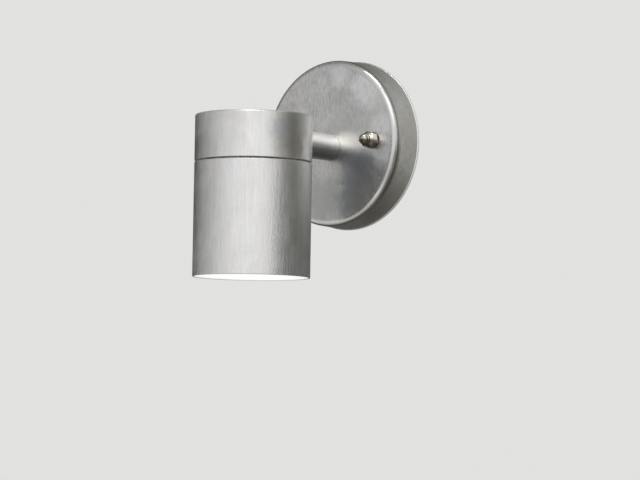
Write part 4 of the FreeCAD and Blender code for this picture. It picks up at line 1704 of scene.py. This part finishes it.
@dataclass
class Studio:
    """A pale stage with soft light, and a grey card behind the dish."""

    background: float = 0.76
    pale: Colour = (1.0, 0.995, 0.985)
    sky_left: float = 0.29
    sky_right: float = 0.95
    sky_span: Ramp = (-0.6, 0.95)
    wall_side_share: float = 0.2
    wall_side_reach: float = 0.26
    bright_way: Place = (0.77, -0.64, 0.0)
    screen_radius: float = 6.0
    floor_drop: float = 0.35
    floor_half: float = 9.0
    floor_colour: Colour = (0.74, 0.74, 0.74)
    floor_glow_share: float = 0.45
    floor_fade: Ramp = (0.6, 5.4)
    flag_half: float = 0.5
    flag_depth_share: float = 0.5
    flag_glow: float = 0.42
    flag_colour: Colour = (1.0, 0.98, 0.95)
    flag_fade: Ramp = (-0.2, -0.5)
    card_half: float = 3.2
    card_floor_gap: float = 0.01
    card_colour: Colour = (1.0, 0.995, 0.93)
    card_across: Ramp = (-0.5, 0.3, 0.03, 0.14)
    card_rise: Ramp = (0.04, 0.26, 0.0, 0.6)
    # A pool of painted light on the card, right of the dish.
    pool_centre: Place = (0.048, 0.0, 0.016)
    pool_fade: Ramp = (0.0, 0.075, 0.44, 0.0)
    soft_boxes: tuple[SoftBox, ...] = (
        SoftBox("key_box", (1.1, -1.7, 1.5), (1.6, 1.2), 6.0),
        SoftBox("top_box", (0.15, -0.45, 1.3), (0.5, 0.35), 3.5),
    )

    @property
    def lowest(self) -> float:
        """The height just over the floor where screen, card and flag end."""
        return self.card_floor_gap - self.floor_drop

    def build(self) -> None:
        """Makes the world, the floor, the cards and the lamps."""
        self.world()
        self.floor()
        self.screen()
        self.wall_card()
        self.low_flag()
        for box in self.soft_boxes:
            box.build()

    def world(self) -> None:
        """A plain pale surrounding."""
        world = bpy.data.worlds.new("studio")
        bpy.context.scene.world = world
        world.use_nodes = True
        graph = Graph(world.node_tree)
        sky = graph.add("Background", {"Color": self.pale, "Strength": self.background})
        graph.add("OutputWorld", {"Surface": sky.outputs[0]})

    def floor(self) -> None:
        """The pale floor, which fades into the background and is clear from below."""
        piece = self.plate("studio_floor", self.floor_half, Matrix.Translation((0, 0, -self.floor_drop)))
        material, graph = new_material("pale floor")
        looks = {"Base Color": self.floor_colour, "Roughness": 0.9, "Specular IOR Level": 0.1}
        surface = graph.add("BsdfPrincipled", looks).outputs[0]
        far = graph.measure("LENGTH", graph.place)
        fade = graph.ramp(far, *self.floor_fade, self.floor_glow_share, 1.0)
        seen = graph.add("MixShader", {0: fade, 1: surface, 2: graph.glow(self.pale, self.background)})
        graph.show(graph.clear_behind(seen.outputs[0]))
        paint(piece, material)

    def screen(self) -> None:
        """A lit dome, brighter behind the camera's right shoulder, which the camera doesn't see."""
        mesh = bmesh.new()
        bmesh.ops.create_uvsphere(mesh, u_segments=64, v_segments=32, radius=self.screen_radius)
        cut = {"plane_co": (0, 0, self.lowest), "plane_no": (0, 0, -1), "clear_outer": True}
        bmesh.ops.bisect_plane(mesh, geom=[*mesh.verts, *mesh.edges, *mesh.faces], **cut)
        piece = self.staged(mesh, "light_screen")
        material, graph = new_material("lit screen")
        way = graph.vector("NORMALIZE", graph.place)
        facing = graph.measure("DOT_PRODUCT", way, self.bright_way)
        from_wall = graph.math("ABSOLUTE", graph.parts(way)["Y"])
        dimmed = graph.ramp(from_wall, 0.0, self.wall_side_reach, self.wall_side_share, 1.0)
        level = graph.product(graph.ramp(facing, *self.sky_span, self.sky_left, self.sky_right), dimmed)
        graph.show(graph.glow(self.pale, level))
        paint(piece, material)
        piece.visible_camera = False
        piece.visible_shadow = False

    def wall_card(self) -> None:
        """A grey card with a hole for the dish, which only reflections see; its glow is painted light,
        brighter to the right and higher up, with a pool of painted light right of the dish.
        """
        radius = Envelope.of("canopy").radius
        mesh = bmesh.new()
        stand = Matrix.Rotation(math.radians(90), 4, "X")
        ring = bmesh.ops.create_circle(mesh, cap_ends=False, segments=96, radius=radius, matrix=stand)
        edges = list({edge for point in ring["verts"] for edge in point.link_edges})
        outer = bmesh.ops.extrude_edge_only(mesh, edges=edges)["geom"]
        wide = [made for made in outer if isinstance(made, bmesh.types.BMVert)]
        bmesh.ops.scale(mesh, verts=wide, vec=(self.card_half / radius,) * 3)
        for point in mesh.verts:
            point.co.z = max(point.co.z, self.lowest)
        for face in mesh.faces:
            face.normal_update()
            if face.normal.y > 0:
                face.normal_flip()
        piece = self.staged(mesh, "wall_card")
        material, graph = new_material("grey card")
        part = graph.parts()
        away = graph.measure("DISTANCE", graph.place, self.pool_centre)
        fades = ((part["X"], self.card_across), (part["Z"], self.card_rise), (away, self.pool_fade))
        level = 0.0
        for value, ends in fades:
            level = graph.math("ADD", level, graph.ramp(value, *ends))
        graph.show(graph.clear_behind(graph.glow(self.card_colour, level)))
        paint(piece, material)
        self.reflect_only(piece)

    def low_flag(self) -> None:
        """A dark flag just over the floor, so that undersides reflect dark ground."""
        half, share = self.flag_half, self.flag_depth_share
        place = Matrix.Translation((0, -half * share, self.lowest)) @ Matrix.Diagonal((1, share, 1, 1))
        piece = self.plate("low_flag", half, place)
        material, graph = new_material("dark flag")
        out = graph.parts()["Y"]
        level = graph.ramp(out, *self.flag_fade, self.flag_glow, self.background)
        graph.show(graph.glow(self.flag_colour, level))
        paint(piece, material)
        self.reflect_only(piece)

    def staged(self, mesh: Mesh, name: str) -> Object:
        """A mesh made into an object with smooth faces and sharp edges.

        Args:
            mesh: The mesh.
            name: The piece's name.

        Returns:
            The piece.
        """
        piece = as_object(mesh, name)
        return piece

    def plate(self, name: str, half: float, place: Matrix) -> Object:
        """A flat, square piece of the stage.

        Args:
            name: The piece's name.
            half: Half the length of a side.
            place: Its turn and place.

        Returns:
            The piece.
        """
        mesh = bmesh.new()
        bmesh.ops.create_grid(mesh, x_segments=1, y_segments=1, size=half, matrix=place)
        return self.staged(mesh, name)

    def reflect_only(self, piece: Object) -> None:
        """Lets a card work in reflections alone.

        Args:
            piece: The card.
        """
        piece.visible_camera = False
        piece.visible_diffuse = False
        piece.visible_shadow = False


@dataclass(frozen=True)
class PhotoCamera:
    """The camera that stands where the photograph was taken from."""

    azimuth: float = 38.663
    elevation: float = -3.966
    roll: float = 0.948
    distance: float = 1565.13 * MM
    pivot: Place = (0.0, -45.0 * MM, 0.0)
    aim_right: float = 11.92 * MM
    aim_up: float = -52.73 * MM
    focal_px: float = 3000.0
    image_width_px: float = 640.0
    sensor_width: float = 36.0
    nearest: float = 0.05

    def build(self) -> None:
        """Makes the scene's camera."""
        azimuth, elevation, roll = (math.radians(x) for x in (self.azimuth, self.elevation, self.roll))
        back = Vector((
            math.sin(azimuth) * math.cos(elevation),
            -math.cos(azimuth) * math.cos(elevation),
            math.sin(elevation),
        ))
        right = Vector((math.cos(azimuth), math.sin(azimuth), 0))
        upward = back.cross(right)
        place = Vector(self.pivot) + right * self.aim_right + upward * self.aim_up + back * self.distance
        turned_right = right * math.cos(roll) + upward * math.sin(roll)
        turned_up = upward * math.cos(roll) - right * math.sin(roll)
        data = bpy.data.cameras.new("photo_camera")
        data.sensor_width = self.sensor_width
        data.lens = self.focal_px / self.image_width_px * self.sensor_width
        data.clip_start = self.nearest
        camera = bpy.data.objects.new("photo_camera", data)
        turn = Matrix((turned_right, turned_up, back)).transposed().to_4x4()
        camera.matrix_world = Matrix.Translation(place) @ turn
        bpy.context.scene.collection.objects.link(camera)
        bpy.context.scene.camera = camera


def main() -> None:
    """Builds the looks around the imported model."""
    logging.basicConfig(level=logging.INFO, format="%(name)s: %(message)s")
    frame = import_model()
    bpy.context.scene.view_settings.view_transform = "Standard"
    PhotoCamera().build()
    Studio().build()
    shop = Workshop(frame["nodes"])
    assemblies: list[Callable[[Workshop], object]] = [Canopy, WallFixings, Arm, HeadCap, Sleeve, Lamp]
    for assembly in assemblies:
        assembly(shop).build()
        log.info("finished %s", assembly.__name__)


if __name__ == "__main__":
    main()
